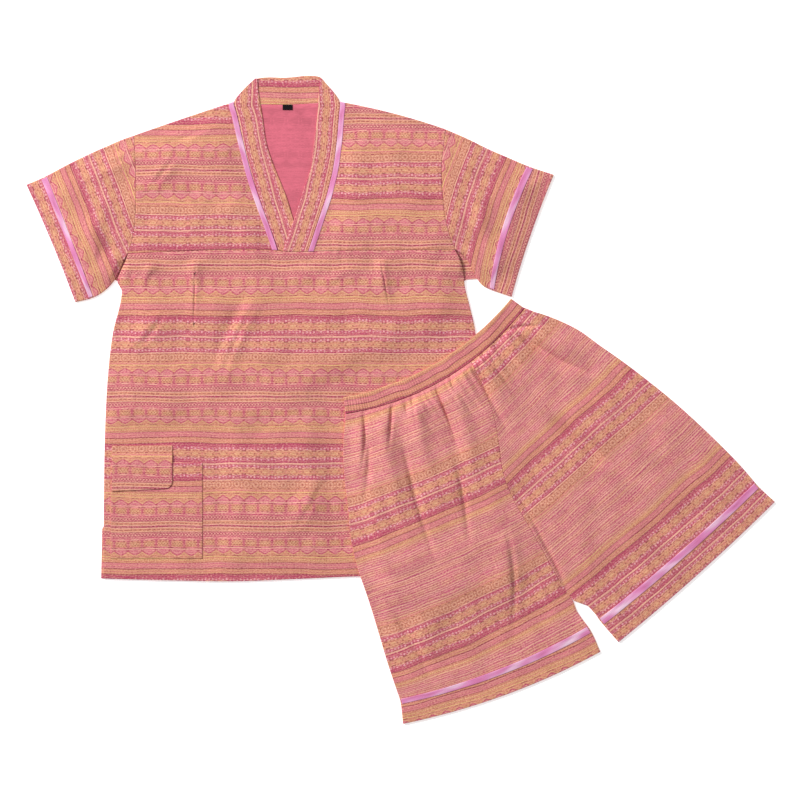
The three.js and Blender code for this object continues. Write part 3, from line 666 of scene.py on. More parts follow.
def laid(name, node, plan_at, steps, level, cloth_at, finishes, lay, wall=WALL, closer=()):
    """A panel laid over plan_at(s, t), s down its rows and t along them, on the underside level. closer
    adds columns at those shares."""
    size = lengths(plan_at(np.linspace(0, 1, 9)[:, None], np.linspace(0, 1, 9)[None, :]))
    s, t = (stations(count, length) for count, length in zip(steps, size))
    t = np.unique(np.concatenate([t, closer]))
    plan = plan_at(s[:, None], t[None, :])
    half = wall / 2 * np.minimum(rim(s, size[0])[:, None], rim(t, size[1])[None, :])
    middle = np.concatenate([plan, (level(plan) + wall / 2)[..., None]], axis=-1)
    piece = add_cloth(name, lay(middle), half, cloth_at(s[:, None], t[None, :], plan), finishes)
    return finish_piece(piece, node)


def pressed_tube(name, node, plan_at, steps, base, level, cloth_at, finishes, lay, ribs=None):
    """A tube pressed flat: the front lies over plan_at(s, t), folds over in half circles along both
    sides, and comes back underneath at the base. ribs adds to the height of the front."""
    size = lengths(plan_at(np.linspace(0, 1, 9)[:, None], np.linspace(0, 1, 9)[None, :]))
    s = stations(steps[0], size[0])
    inset = WALL / 2 / size[1]
    turn = FOLD * (1 - np.cos(np.radians([0, 30, 60, 90]))) / size[1]
    t = np.concatenate([turn, np.linspace(0, 1, steps[1] + 1)[1:-1], (1 - turn)[::-1]])
    plan = plan_at(s[:, None], mix(inset, 1 - inset, t)[None, :])
    front, back = level(plan) + WALL / 2, base(plan) + WALL / 2
    if ribs is not None:
        front = front + ribs(s[:, None], t[None, :])
    depth = np.minimum(t, 1 - t) * size[1] / FOLD
    bulge = np.sqrt(1 - (1 - np.clip(depth, 0, 1)) ** 2)
    centre, rise = (front + back) / 2, (front - back) / 2 * bulge
    upper = np.concatenate([plan, (centre + rise)[..., None]], axis=-1)
    lower = np.concatenate([plan, (centre - rise)[..., None]], axis=-1)[:, -2:0:-1]
    middle = np.concatenate([upper, lower], axis=1)
    half = np.repeat(WALL / 2 * rim(s, size[0])[:, None], middle.shape[1], axis=1)
    cloth = cloth_at(s[:, None], t[None, :], plan)
    behind = cloth[:, -2::-1].copy()
    behind[..., 0] = 2 * cloth[:, -1:, 0] - behind[..., 0]
    piece = add_cloth(name, lay(middle), half, np.concatenate([cloth, behind], axis=1), finishes, ring=True)
    return finish_piece(piece, node)


# Shader graphs
def srgb(red, green, blue):
    """Linear colour of screen values from 0 to 255."""
    part = np.array([red, green, blue]) / 255
    linear = np.where(part <= 0.04045, part / 12.92, ((part + 0.055) / 1.055) ** 2.4)
    return (*linear.tolist(), 1)


class Wire:
    """A value in a node tree. Plain arithmetic with it adds Math nodes."""

    def __init__(self, tree, output):
        self.tree, self.output = tree, output

    def math(self, operation, *others, clamp=False):
        node = self.tree.nodes.new("ShaderNodeMath")
        node.operation, node.use_clamp = operation, clamp
        for socket, value in zip(node.inputs, (self, *others)):
            set_or_join(self.tree, socket, value)
        return Wire(self.tree, node.outputs[0])

    def __add__(self, other):
        return self.math("ADD", other)

    def __sub__(self, other):
        return self.math("SUBTRACT", other)

    def __mul__(self, other):
        return self.math("MULTIPLY", other)

    def __truediv__(self, other):
        return self.math("DIVIDE", other)

    def opposite(self):
        return (self * -1) + 1

    def size(self):
        return self.math("ABSOLUTE")

    def fraction(self):
        return self.math("FRACT")

    def from_middle(self, pitch, shift=0):
        """Distance, in the value's own unit, from the nearest multiple of pitch."""
        return (((self + shift) / pitch + 0.5).fraction() - 0.5).size() * pitch

    def below(self, limit, soft=0.35):
        """1 where the value is under the limit, with a soft edge."""
        node = self.tree.nodes.new("ShaderNodeMapRange")
        node.interpolation_type = "SMOOTHSTEP"
        set_or_join(self.tree, node.inputs["Value"], self - limit)
        set_inputs(node, {"From Min": -soft, "From Max": soft, "To Min": 1, "To Max": 0})
        return Wire(self.tree, node.outputs[0])

    def near(self, place, reach, soft=0.35):
        """1 within reach of a place."""
        return (self - place).size().below(reach, soft)


def set_or_join(tree, socket, value):
    if isinstance(value, Wire):
        tree.links.new(value.output, socket)
    else:
        socket.default_value = value


MIX_COLOURS = (6, 7, 2)        # the colour sockets of a Mix node: both inputs, and its output


def set_inputs(node, settings):
    for title, value in settings.items():
        node.inputs[title].default_value = value


def add_object(name, data):
    thing = bpy.data.objects.new(name, data)
    bpy.context.collection.objects.link(thing)
    return thing


def blend(tree, mask, under, over):
    """The colour under, covered by the colour over where the mask is 1."""
    node = tree.nodes.new("ShaderNodeMix")
    node.data_type = "RGBA"
    set_or_join(tree, node.inputs["Factor"], mask)
    set_or_join(tree, node.inputs[MIX_COLOURS[0]], under)
    set_or_join(tree, node.inputs[MIX_COLOURS[1]], over)
    return Wire(tree, node.outputs[MIX_COLOURS[2]])


def new_group(name, inputs, outputs):
    """An empty node group. inputs are named numbers, and outputs names with their socket types."""
    group = bpy.data.node_groups.new(name, "ShaderNodeTree")
    for title, value in inputs.items():
        socket = group.interface.new_socket(title, in_out="INPUT", socket_type="NodeSocketFloat")
        socket.default_value = value
    for title, kind in outputs.items():
        group.interface.new_socket(title, in_out="OUTPUT", socket_type=kind)
    source = group.nodes.new("NodeGroupInput")
    target = group.nodes.new("NodeGroupOutput")
    return group, {title: Wire(group, source.outputs[title]) for title in inputs}, target


ROSE = srgb(202, 80, 112)
DEEP_ROSE = srgb(190, 60, 102)
MAGENTA = srgb(206, 88, 128)
DARK = srgb(152, 58, 70)
BROWN = srgb(158, 80, 66)
PINK = srgb(228, 128, 138)
LILAC = srgb(228, 122, 140)
SALMON = srgb(230, 140, 130)
GOLD = srgb(226, 153, 115)
OCHRE = srgb(233, 176, 126)
YELLOW = srgb(250, 214, 130)
PALE = srgb(255, 196, 168)
DOT = srgb(255, 186, 196)
LINING = srgb(227, 115, 134)
# The ribbon's own colour, then a painted highlight and a painted shade that satin_material lays over it in
# patches
SATIN = srgb(238, 148, 200)
SATIN_PAINTED_HIGHLIGHT = srgb(255, 214, 238)
SATIN_PAINTED_SHADE = srgb(220, 104, 158)
TAPE = srgb(26, 20, 24)

# Ground colour from each place across the rows on: the outer rows, and those mirrored about the centre
OUTER_GROUND = [
    (0, PALE), (1.5, DARK), (2.7, ROSE), (22.6, DEEP_ROSE), (24.2, PALE), (25.3, GOLD), (38.6, SALMON),
    (41.2, YELLOW), (42.4, GOLD), (138.2, GOLD), (143.3, DARK), (144.6, PINK), (152, DARK), (153.3, GOLD),
    (160.2, DARK), (161.5, DEEP_ROSE), (166.3, ROSE), (188.4, DEEP_ROSE),
]
INNER_GROUND = [
    (0, DEEP_ROSE), (1.5, PALE), (2.6, GOLD), (6.9, PALE), (7.9, BROWN), (8.8, PINK), (16.2, DEEP_ROSE),
    (17.3, PINK), (20.4, SALMON), (31.2, LILAC), (33.2, PALE), (34.2, LILAC), (45, GOLD), (47.3, YELLOW),
    (48.4, GOLD),
]
INNER_REACH = 49.4              # how far the mirrored rows go on both sides of the centre
CLOSER = 1.07                   # those past the centre lie a little closer together


def ground(tree, place, span, bands):
    """Colour bands across the rows from a ramp that holds each colour up to the next."""
    node = tree.nodes.new("ShaderNodeValToRGB")
    node.color_ramp.interpolation = "CONSTANT"
    while len(node.color_ramp.elements) < len(bands):
        node.color_ramp.elements.new(0.5)
    for element, (start, colour) in zip(node.color_ramp.elements, bands):
        element.position, element.color = start / span, colour
    set_or_join(tree, node.inputs["Fac"], place / span)
    return Wire(tree, node.outputs["Color"])


def noise(tree, x, y, detail=0):
    """Soft noise about a half over two wires."""
    place = tree.nodes.new("ShaderNodeCombineXYZ")
    set_or_join(tree, place.inputs["X"], x)
    set_or_join(tree, place.inputs["Y"], y)
    node = tree.nodes.new("ShaderNodeTexNoise")
    set_inputs(node, {"Scale": 1, "Detail": detail})
    tree.links.new(place.outputs["Vector"], node.inputs["Vector"])
    return Wire(tree, node.outputs["Fac"])


def chart_group():
    """The jacquard's rows: grounds from two ramps, and over them stars, rings, waves, blocks, dashes and
    zigzags, each from the distance to the middle of its motif and of its row."""
    sockets = {"Color": "NodeSocketColor", "Raised": "NodeSocketFloat"}
    group, given, target = new_group("jacquard chart", {"Along": 0, "Across": 0, "Plain": 0}, sockets)
    along = given["Along"] / MM
    straight = given["Across"] / MM
    place = straight + (noise(group, along / 70, straight / 90, 1) - 0.5) * WANDER
    row = (place / REPEAT).fraction() * REPEAT
    beside = row - ROW_CENTRE
    inner = (beside * -1).math("MAXIMUM", beside * CLOSER)
    colour = blend(group, inner.below(INNER_REACH, 0.1), ground(group, row, REPEAT, OUTER_GROUND),
                   ground(group, inner, 50, INNER_GROUND))
    motif = along.from_middle(MOTIF)                        # 0 at a motif's middle, half a motif between two
    half = MOTIF / 2
    quarter = along.from_middle(MOTIF / 4)
    loop = along.from_middle(LOOP)
    fleck = noise(group, along / 5, straight / 5)
    layers = []

    def over(mask, tone):
        layers.append((mask, tone))

    # Rows of stars between dots
    star_row = (row - 12.8).size().math("MINIMUM", (row - 176.6).size())
    star = (motif / half).math("POWER", 1.5) * -2.7 + 6.2
    over(star_row.below(star, 0.7), GOLD)
    over(star_row.near(star, 0.7, 0.5), PALE)
    over((star_row * 1.4 + motif * 0.7).below(3.8, 0.8), OCHRE)
    over(star_row.near(4.4, 1.1, 0.5) * motif.near(half, 3), BROWN)
    over(star_row.near(4.3, 0.8, 0.5) * quarter.near(MOTIF / 8, 1.2) * 0.8, BROWN)
    over(star_row.below(1) * motif.near(half * 0.55, 0.9, 0.5), BROWN)
    over(star_row.below(1.6) * motif.near(half, 1, 0.5), SALMON)
    level = along.from_middle(MOTIF / 2) / (MOTIF / 4) * 1.5 + 7
    spot = (quarter.math("POWER", 2) + (star_row - level).math("POWER", 2)).math("SQRT")
    over(spot.below(2.2, 0.6), DEEP_ROSE)
    over(spot.below(1.45, 0.6) * ((fleck - 0.5) * 3 + 0.8), DOT)

    # Rings in a lattice
    ring_row = (row - 32).size()
    ring = (loop.math("POWER", 2) + ring_row.math("POWER", 2)).math("SQRT")
    over(ring.near(5.1, 0.7, 0.5) * 0.45, BROWN)
    over(ring.near(3.3, 0.7, 0.5) * 0.6, PALE)
    over(ring.below(1.5, 0.5) * 0.7, BROWN)
    over(ring_row.near(5.4, 0.7) * loop.near(LOOP / 2, 2.2), DARK)
    over(ring_row.near(2, 0.7) * loop.near(LOOP / 2, 1), PALE)

    # Scallops
    wave = (motif / half).math("POWER", 1.3) * -6.4 + 42.6
    over((inner - wave).below(0).opposite() * inner.below(45), GOLD)
    over((inner - wave).near(2.6, 0.8) * inner.below(45), OCHRE)
    over(inner.near(wave, 1, 0.5), ROSE)
    over(inner.near(wave - 2.3, 0.6, 0.5) * inner.below(34, 0.2).opposite() * 0.5, PALE)
    over(inner.near(35.8, 1.4) * motif.near(half, 2.2), DEEP_ROSE)
    over(inner.near(32, 0.7) * motif.near(half, 5), DARK)
    over(inner.near(46.1, 0.6) * motif.below(5.6), BROWN)

    # Blocks of lace
    block_row = (inner - 26).size()
    over(block_row.below(4.4) * motif.below(7.6, 0.8), GOLD)
    over((block_row * 1.3 + motif * 0.7).below(5.2, 1), OCHRE)
    over(block_row.near(2.5, 0.6, 0.5) * along.from_middle(4.2).below(1.1, 0.5), BROWN)
    over(block_row.below(0.6) * along.from_middle(4.2, 2.1).below(0.9, 0.5), BROWN)
    over(block_row.below(4.8) * motif.near(half, 1.1), ROSE)
    over(inner.near(21.4, 1.3) * motif.near(half, 2), DEEP_ROSE)
    over(inner.near(20.9, 0.7) * motif.near(4, 1.6), DARK)
    over(inner.near(18.9, 0.6) * motif.below(5.4), PALE)

    # Diamonds in a chain, and dashes
    chain = along.from_middle(4.7) * 1.1 + (inner - 12.4).size()
    over(chain.near(2.7, 0.6, 0.4), DARK)
    over(chain.below(1.1, 0.5), PALE)
    over(inner.near(4.7, 0.6) * along.from_middle(7).below(2.3), BROWN)
    over(inner.near(0, 0.8) * along.from_middle(7).below(2.2), DARK)
    over(row.near(140.2, 0.6) * along.from_middle(3.5).below(1.1), YELLOW)
    over(row.near(157, 0.5) + row.near(148.4, 0.5), SALMON)
    plain = inner.below(INNER_REACH, 2) * given["Plain"]    # how far the middle rows give way to thick wefts
    raised = None
    for mask, tone in layers:
        mask = mask * plain.opposite()
        colour = blend(group, mask, colour, tone)
        raised = mask if raised is None else raised.math("MAXIMUM", mask)

    # Thick and thin threads of the weft
    unevenness = noise(group, along / 45, straight / 7)
    rib = ((place * (2 * math.pi / WEFT_RIB) + unevenness * 7).math("SINE") * 0.5 + 0.5)
    thickness = unevenness * 1.6 + 0.2
    colour = blend(group, rib * (plain + 0.26) * thickness, colour, PALE)
    colour = blend(group, rib.opposite() * (plain + 0.24), colour, MAGENTA)
    grain = noise(group, along / 2.7, straight / 1.3)
    colour = blend(group, (grain - 0.5) * 1.7, colour, PALE)
    colour = blend(group, (grain - 0.5) * -1.5, colour, DARK)
    group.links.new(colour.output, target.inputs["Color"])
    group.links.new(raised.output, target.inputs["Raised"])
    return group


THREAD = 1.1                    # pitch of the jacquard's threads


def weave_group():
    """Threads and slubs: fine waves along and across the rows, and noise drawn out along them. Shade
    goes about 1, and Height about 0."""
    sockets = {"Shade": "NodeSocketFloat", "Height": "NodeSocketFloat"}
    group, given, target = new_group("weave", {"Along": 0, "Across": 0, "Thread": THREAD}, sockets)
    along, across_rows = given["Along"] / MM, given["Across"] / MM
    streak = noise(group, along / 9, across_rows / 1.4, 2)
    cloud = noise(group, along / 34, across_rows / 26, 1)
    threads = (along * (2 * math.pi) / given["Thread"]).math("SINE") * \
        (across_rows * (2 * math.pi) / given["Thread"]).math("SINE")
    shade = (streak - 0.5) * 0.42 + (cloud - 0.5) * 0.3 + 0.94
    height = threads * 0.3 + (streak - 0.5) * 1.2
    group.links.new(shade.output, target.inputs["Shade"])
    group.links.new(height.output, target.inputs["Height"])
    return group


WEAVE = weave_group()
CHART = chart_group()


def new_material(name, roughness):
    """A material with its Principled shader, and the cloth coordinates of the piece it is on."""
    material = bpy.data.materials.new(name)
    material.use_nodes = True
    tree = material.node_tree
    shader = tree.nodes["Principled BSDF"]
    shader.inputs["Roughness"].default_value = roughness
    cloth = tree.nodes.new("ShaderNodeUVMap")
    cloth.uv_map = CLOTH_MAP
    parts = tree.nodes.new("ShaderNodeSeparateXYZ")
    tree.links.new(cloth.outputs["UV"], parts.inputs["Vector"])
    return material, tree, shader, Wire(tree, parts.outputs["X"]), Wire(tree, parts.outputs["Y"])


def place_group(tree, group, values):
    node = tree.nodes.new("ShaderNodeGroup")
    node.node_tree = group
    for title, value in values.items():
        set_or_join(tree, node.inputs[title], value)
    return node


def shaded(tree, colour, shade):
    """A colour made lighter or darker by a factor."""
    node = tree.nodes.new("ShaderNodeVectorMath")
    node.operation = "SCALE"
    set_or_join(tree, node.inputs[0], colour if isinstance(colour, Wire) else colour[:3])
    set_or_join(tree, node.inputs["Scale"], shade)
    return Wire(tree, node.outputs["Vector"])


def add_bump(tree, shader, height, distance, strength):
    bump = tree.nodes.new("ShaderNodeBump")
    set_inputs(bump, {"Distance": distance, "Strength": strength})
    set_or_join(tree, bump.inputs["Height"], height)
    tree.links.new(bump.outputs["Normal"], shader.inputs["Normal"])


def weave_of(tree, along, across_rows, thread=THREAD):
    """Shade and height of the weave."""
    node = place_group(tree, WEAVE, {"Along": along, "Across": across_rows, "Thread": thread})
    return Wire(tree, node.outputs["Shade"]), Wire(tree, node.outputs["Height"])


def paint(tree, shader, colour, shade, settings):
    """The colour goes in with its shade, and the settings are those of the shader's other sockets."""
    tree.links.new(shaded(tree, colour, shade).output, shader.inputs["Base Color"])
    set_inputs(shader, settings)


def jacquard_material(name, plain):
    material, tree, shader, along, across_rows = new_material(name, 0.86)
    chart = place_group(tree, CHART, {"Along": along, "Across": across_rows, "Plain": plain})
    shade, height = weave_of(tree, along, across_rows)
    settings = {"Sheen Weight": 0.12, "Specular IOR Level": 0.2}
    paint(tree, shader, Wire(tree, chart.outputs["Color"]), shade, settings)
    add_bump(tree, shader, height + Wire(tree, chart.outputs["Raised"]) * 0.6, CLOTH_BUMP, 0.5)
    return material


def reverse_material():
    """Inside of the cloth: plain rose with the rows showing through faintly."""
    material, tree, shader, along, across_rows = new_material("jacquard reverse", 0.9)
    chart = place_group(tree, CHART, {"Along": along, "Across": across_rows})
    shade, height = weave_of(tree, along, across_rows)
    shade = shade - Wire(tree, chart.outputs["Raised"]) * 0.1
    paint(tree, shader, LINING, shade, {"Specular IOR Level": 0.2})
    add_bump(tree, shader, height, CLOTH_BUMP, 0.5)
    return material


def satin_material():
    material, tree, shader, along, across_rows = new_material("satin ribbon", 0.42)
    shade, height = weave_of(tree, along * 0.5, across_rows, 0.8)
    # Painted highlight and painted shade: a slow noise along the ribbon lightens it towards a near-white
    # sheen in some stretches and darkens it to deep magenta in others
    painted_glint = noise(tree, along / (52 * MM), across_rows / (14 * MM), 1)
    sheen = blend(tree, (painted_glint - 0.46) * 5, SATIN, SATIN_PAINTED_HIGHLIGHT)
    sheen = blend(tree, (painted_glint - 0.46) * -5, sheen, SATIN_PAINTED_SHADE)
    paint(tree, shader, sheen, shade, {"Sheen Weight": 0.3})
    add_bump(tree, shader, height, SATIN_BUMP, 0.6)
    return material


def label_material():
    material, tree, shader, along, across_rows = new_material("label tape", 0.7)
    shade = weave_of(tree, along, across_rows, 0.7)[0]
    paint(tree, shader, TAPE, shade, {"Specular IOR Level": 0.1})
    return material


CLOTH_BUMP = 0.00025            # metres
SATIN_BUMP = 0.0002
JACQUARD = jacquard_material("jacquard cloth", 0)
RIBBED = jacquard_material("ribbed jacquard cloth", 0.45)
REVERSE = reverse_material()
RIBBON_SATIN = satin_material()
LABEL_TAPE = label_material()
OUTSIDE_UP = (JACQUARD, REVERSE)
INSIDE_UP = (REVERSE, JACQUARD)
BOTH_SIDES = (JACQUARD, JACQUARD)
LEG_UP = (RIBBED, REVERSE)


# Pieces of the top
def walk(line, share):
    """Places along a line of points, by share of its length."""
    gone = np.concatenate([[0], np.cumsum(np.linalg.norm(np.diff(line, axis=0), axis=-1))])
    at = np.asarray(share) * gone[-1]
    return point(np.interp(at, gone, line[:, 0]), np.interp(at, gone, line[:, 1]))


def shoulder(side, t, neck_end):
    return across(armhole(side, 1), neck_end, t, (0, SHOULDER_ARCH[side]))


def back_side(side):
    """Side of the back from the hem up to the shoulder: side seam, pit and armhole."""
    sign = SIGN[side]
    slit = np.linspace(BODY["down"][-1], VENT["down"] + 1, 5)
    downs = np.concatenate([slit, np.linspace(VENT["down"] - 1, PIT["down"], 24)])
    x = read(BODY, side, downs) + np.where(downs >= VENT["down"], sign * VENT["beyond"], 0)
    pit = sleeve_edge(side, "under", np.array([PIT[side], *PIT["outs"]])) + (sign * PIT["under"], 1)
    return np.concatenate([point(x, -downs), pit, armhole(side, np.linspace(0, 1, 17))])


def back_plan(s, t):
    """The back between its hem, its sides and the line of shoulders and neck: the line from side to side
    plus that from hem to shoulder, less the plane through its corners."""
    left, right = walk(back_side("left"), s), walk(back_side("right"), s)
    ends = {side: collar_seam(side, NECK_TOP) + (SIGN[side], -1) for side in SIGN}
    neck = point(BACK_NECK["x"], BACK_NECK["bottom"] - SEAM)
    along = np.linspace(0, 1, 9)
    upper_line = np.concatenate([
        shoulder("left", along, ends["left"]), neck, shoulder("right", along, ends["right"])[::-1]])
    upper = walk(upper_line, t)
    x = mix(left[:1, :, 0], right[:1, :, 0], t)
    lower = point(x, read(HEM, "y", x))
    s, t = s[..., None], t[..., None]
    corners = mix(mix(left[:1], right[:1], t), mix(left[-1:], right[-1:], t), s)
    return mix(left, right, t) + mix(lower, upper, s) - corners


def body_cloth(s, t, plan):
    return point(plan[..., 0], read(FRONT_ROWS, "row", -plan[..., 1]))


def over_back(plan):
    return back_level(plan) + LAYER


def add_ribbon(side, seam, plan_at, steps, under, cloth_at, lay):
    """A satin strip over a seam of the cloth whose underside is under."""
    return laid(f"{side}_{seam}_ribbon", f"{seam}_ribbon_{side}", plan_at, steps,
                lambda plan: under(plan) + WALL + SEAM / 2, cloth_at, (RIBBON_SATIN, RIBBON_SATIN), lay,
                RIBBON_WALL)


def add_back():
    piece = laid("back_of_top", "top_back", back_plan, (120, 110), back_level, body_cloth, INSIDE_UP,
                 lay_top)
    faces = piece.data.polygons
    centres = np.empty(3 * len(faces))
    faces.foreach_get("center", centres)
    spots = centres.reshape(-1, 3)[:, :2] / MM - TOP_AT
    x, down = spots[:, 0], -spots[:, 1]
    beside = np.maximum(read(BODY, "left", down) - x, x - read(BODY, "right", down)) > -SEEN_BESIDE
    finishes = np.where(beside & (down > 0), 1, np.repeat([0, 1], len(faces) // 2))
    faces.foreach_set("material_index", finishes)
    return piece


SEAM_CURVE = {"yoke": 8, "band": 9}     # the yoke seam's curve is gone at 1/8 and 1/9 of their heights


def yoke_plan(side, s, t):
    """Rows from the armhole to the collar seam, the lowest of them on the yoke seam."""
    up = s * NECK_TOP
    seam = collar_seam(side, up) + (SIGN[side] * SEAM, 0)
    t = np.broadcast_to(t, np.broadcast_shapes(s.shape, t.shape))
    plan = across(armhole(side, s), seam, t)
    plan[..., 1] += SHOULDER_ARCH[side] * s * arch(t)
    lowest = mix(armhole(side, 0)[..., 1], 0, t)
    drop = yoke_seam(plan[..., 0]) + SEAM / 2 - lowest
    plan[..., 1] += drop * np.maximum(0, 1 - s * SEAM_CURVE["yoke"])
    return plan


def add_yoke(side):
    pale = {"left": 31.5, "right": 109.5}[side]      # height of the pale line over the yoke seam
    piece = laid(f"{side}_yoke", f"yoke_{side}", lambda s, t: yoke_plan(side, s, t), (84, 72), front_level,
                 lambda s, t, plan: plan - (0, pale), OUTSIDE_UP, lay_top)

    def strip(s, t):
        start = yoke_plan(side, s, np.zeros_like(t))
        end = yoke_plan(side, s, np.ones_like(t))
        width = np.linalg.norm(end - start, axis=-1)
        return yoke_plan(side, s, 1 - COLLAR_RIBBON / width * (1 - t))
    return piece, add_ribbon(side, "collar", strip, (84, 4), front_level,
                             lambda s, t, plan: point(s * 250, t * COLLAR_RIBBON), lay_top)


def band_plan(side, s, t):
    up = s * COLLAR_TOP
    fold = point(read(COLLAR, f"{side}Fold", up), up)
    plan = mix(collar_seam(side, up), fold, (t + 0 * s)[..., None])
    plan[..., 1] += (yoke_seam(plan[..., 0]) + SEAM / 2) * np.maximum(0, 1 - s * SEAM_CURVE["band"])
    return plan


def add_collar():
    def cloth_of(side):
        sign = -SIGN[side]

        def cloth(s, t, plan):
            up = s * COLLAR_TOP
            from_seam = sign * (plan[..., 0] - read(COLLAR, f"{side}Seam", np.minimum(up, NECK_TOP)))
            pale = mix(21, 28, np.clip(up / 205, 0, 1)) if side == "left" else mix(31, 33, up / COLLAR_TOP)
            return point(plan[..., 1], pale - from_seam)
        return cloth

    bands = []
    for side, level in (("left", over_back), ("right", band_level)):
        bands.append(laid(f"{side}_collar_band", f"collar_{side}", lambda s, t: band_plan(side, s, t),
                          (90, 14), level, cloth_of(side), BOTH_SIDES, lay_top))

    def plan(s, t):
        x = mix(BACK_NECK["x"][0], BACK_NECK["x"][-1], s)
        return point(x, mix(read(BACK_NECK, "bottom", x), read(BACK_NECK, "top", x), t))
    bands.append(laid("back_collar_band", "collar_back", plan, (60, 16), back_level,
                      lambda s, t, plan: plan - (0, 87), BOTH_SIDES, lay_top))
    return bands


def front_plan(s, t):
    down = s * BODY["down"][-1]
    x = mix(read(BODY, "left", down), read(BODY, "right", down), t)
    return point(x, mix(yoke_seam(x) - SEAM / 2, read(HEM, "y", x), s))


def add_front():
    tucks = np.concatenate([np.arange(-152, -142, 1), np.arange(129, 150, 1.5)])
    left, right = -257, 258.5       # sides of the body at the height of the tucks
    return laid("lower_front", "front_lower", front_plan, (158, 172), front_level, body_cloth, OUTSIDE_UP,
                lay_top, closer=(tucks - left) / (right - left))


def add_pocket():
    def plan(s, t):
        return point(mix(POCKET["left"], POCKET["right"], t), mix(POCKET["top"], POCKET["bottom"], s))

    def level(plan):
        x, y = parted(plan)
        away = np.minimum.reduce([x - POCKET["left"], POCKET["right"] - x, y - POCKET["bottom"]])
        swell = 0.4 * smooth(away, 2, 26) + 0.2 * undulation(plan, 4) * smooth(away, 2, 12)
        return LAYER + WALL + POCKET_GAP + swell
    pocket = laid("patch_pocket", "pocket", plan, (48, 46), level, lambda s, t, plan: plan + (6, 503),
                  OUTSIDE_UP, lay_top, wall=POCKET_WALL)

    def flap_plan(s, t):
        y = mix(FLAP["top"], FLAP["bottom"], s)
        turned = np.maximum(0, FLAP["bottom"] + FLAP["corner"] - y)
        cut = FLAP["corner"] - np.sqrt(FLAP["corner"] ** 2 - turned ** 2)
        end = point(FLAP["right"] - cut, y + FLAP["slant"] * s)
        return mix(point(FLAP["left"], y), end, t[..., None])

    def flap_level(plan):
        return LAYER * (2 + smooth(FLAP["top"] - plan[..., 1], FLAP["flat"], FLAP["rise"])) - POCKET_GAP

    def flap_cloth(s, t, plan):
        return point(plan[..., 0] + 3, 27 + FLAP["top"] - plan[..., 1])
    flap = laid("flap_of_pocket", "pocket_flap", flap_plan, (30, 36), flap_level, flap_cloth, OUTSIDE_UP,
                lay_top, wall=POCKET_WALL)
    return pocket, flap


def add_label():
    def plan(s, t):
        return point(LABEL["x"] + LABEL["width"] * (t - 0.5), LABEL["y"] + LABEL["height"] * (0.5 - s))
    return laid("label_at_neck", "neck_label", plan, (6, 10), over_back, lambda s, t, plan: plan,
                (LABEL_TAPE, LABEL_TAPE), lay_top, LABEL["wall"])


def sleeve_plan(side, out, t):
    """Rows from the top fold to the underarm fold. The armhole's own curve fades out over the first."""
    sign = SIGN[side]
    start, end = sleeve_edge(side, "top", out), sleeve_edge(side, "under", out)
    t = t + 0 * out
    bow = point(sign * read(SLEEVES[side], "bow", out), 0 * out)
    hold = np.maximum(0, 1 - out / ARMHOLE_HOLD) ** 2
    chord = mix(armhole(side, 1), armhole(side, 0), t[..., None])
    curve = (armhole(side, 1 - t) - chord) * hold[..., None]
    gap = point(sign * ARMHOLE_GAP * np.maximum(0, 1 - out * 50), 0 * out)
    return mix(start, end, t[..., None]) + bow * arch(t)[..., None] + curve + gap


def sleeve_cloth(side):
    """Rows run along the cuff seam, and are counted by the distance from it."""
    start, end = sleeve_edge(side, "top", 1), sleeve_edge(side, "under", 1)
    line = (end - start) / np.linalg.norm(end - start)
    sign = SIGN[side]
    inward = np.array([line[1], -line[0]]) * sign
    pale, bulge = {"left": (73, 0), "right": (68, 5)}[side]
    cuff_pale = {"left": -2, "right": 84}[side]

    def cloth(s, t, plan):
        off = plan - start
        return point(off @ line, off @ inward - pale - bulge * arch(t))

    def cuff_cloth(s, t, plan):
        off = plan - start
        return point(off @ line, off @ inward - cuff_pale)
    return cloth, cuff_cloth


def add_sleeve(side):
    cloth, cuff_cloth = sleeve_cloth(side)
    sleeve = pressed_tube(f"{side}_sleeve", f"sleeve_{side}",
                          lambda s, t: sleeve_plan(side, s * SLEEVE_END, t),
                          (48, 66), back_level, front_level, cloth, OUTSIDE_UP, lay_top)
    cuff = pressed_tube(f"{side}_cuff_band", f"cuff_band_{side}",
                        lambda s, t: sleeve_plan(side, mix(CUFF_START, CUFF_EDGE, s), t),
                        (12, 66), back_level, front_level, cuff_cloth, BOTH_SIDES, lay_top)
    ribbon = add_ribbon(side, "sleeve",
                        lambda s, t: sleeve_plan(side, mix(*SLEEVE_RIBBON, s), mix(0.01, 0.99, t)),
                        (5, 70), front_level, lambda s, t, plan: point(t * 190, s * RIBBON), lay_top)
    return sleeve, cuff, ribbon


# Pieces of the shorts
def leg_plan(side, down, t):
    start = leg_edge(side, "outer", down)
    end = leg_edge(side, "inner", down) + (SIGN[side] * LEG_GAP, 0)
    t = t + 0 * down
    plan = mix(start, end, t[..., None])
    plan[..., 1] -= read(LEGS[side], "sag", down) * arch(t)
    return plan


def leg_cloth(side):
    """Rows fan out from the waist, and are counted by their mean height from the pale line. The place
    along them is measured square to the hem."""
    slope = {"left": math.radians(-12), "right": math.radians(11.3)}[side]
    line = np.array([math.cos(slope), math.sin(slope)])
    rows = LEG_ROWS[side]

    def cloth(down, t, plan, shift=0):
        height = (read(LEGS[side], "outerY", down) + read(LEGS[side], "innerY", down)) / 2
        return point(plan @ line, (height - rows["pale"]) * rows["grows"] + shift)
    return cloth


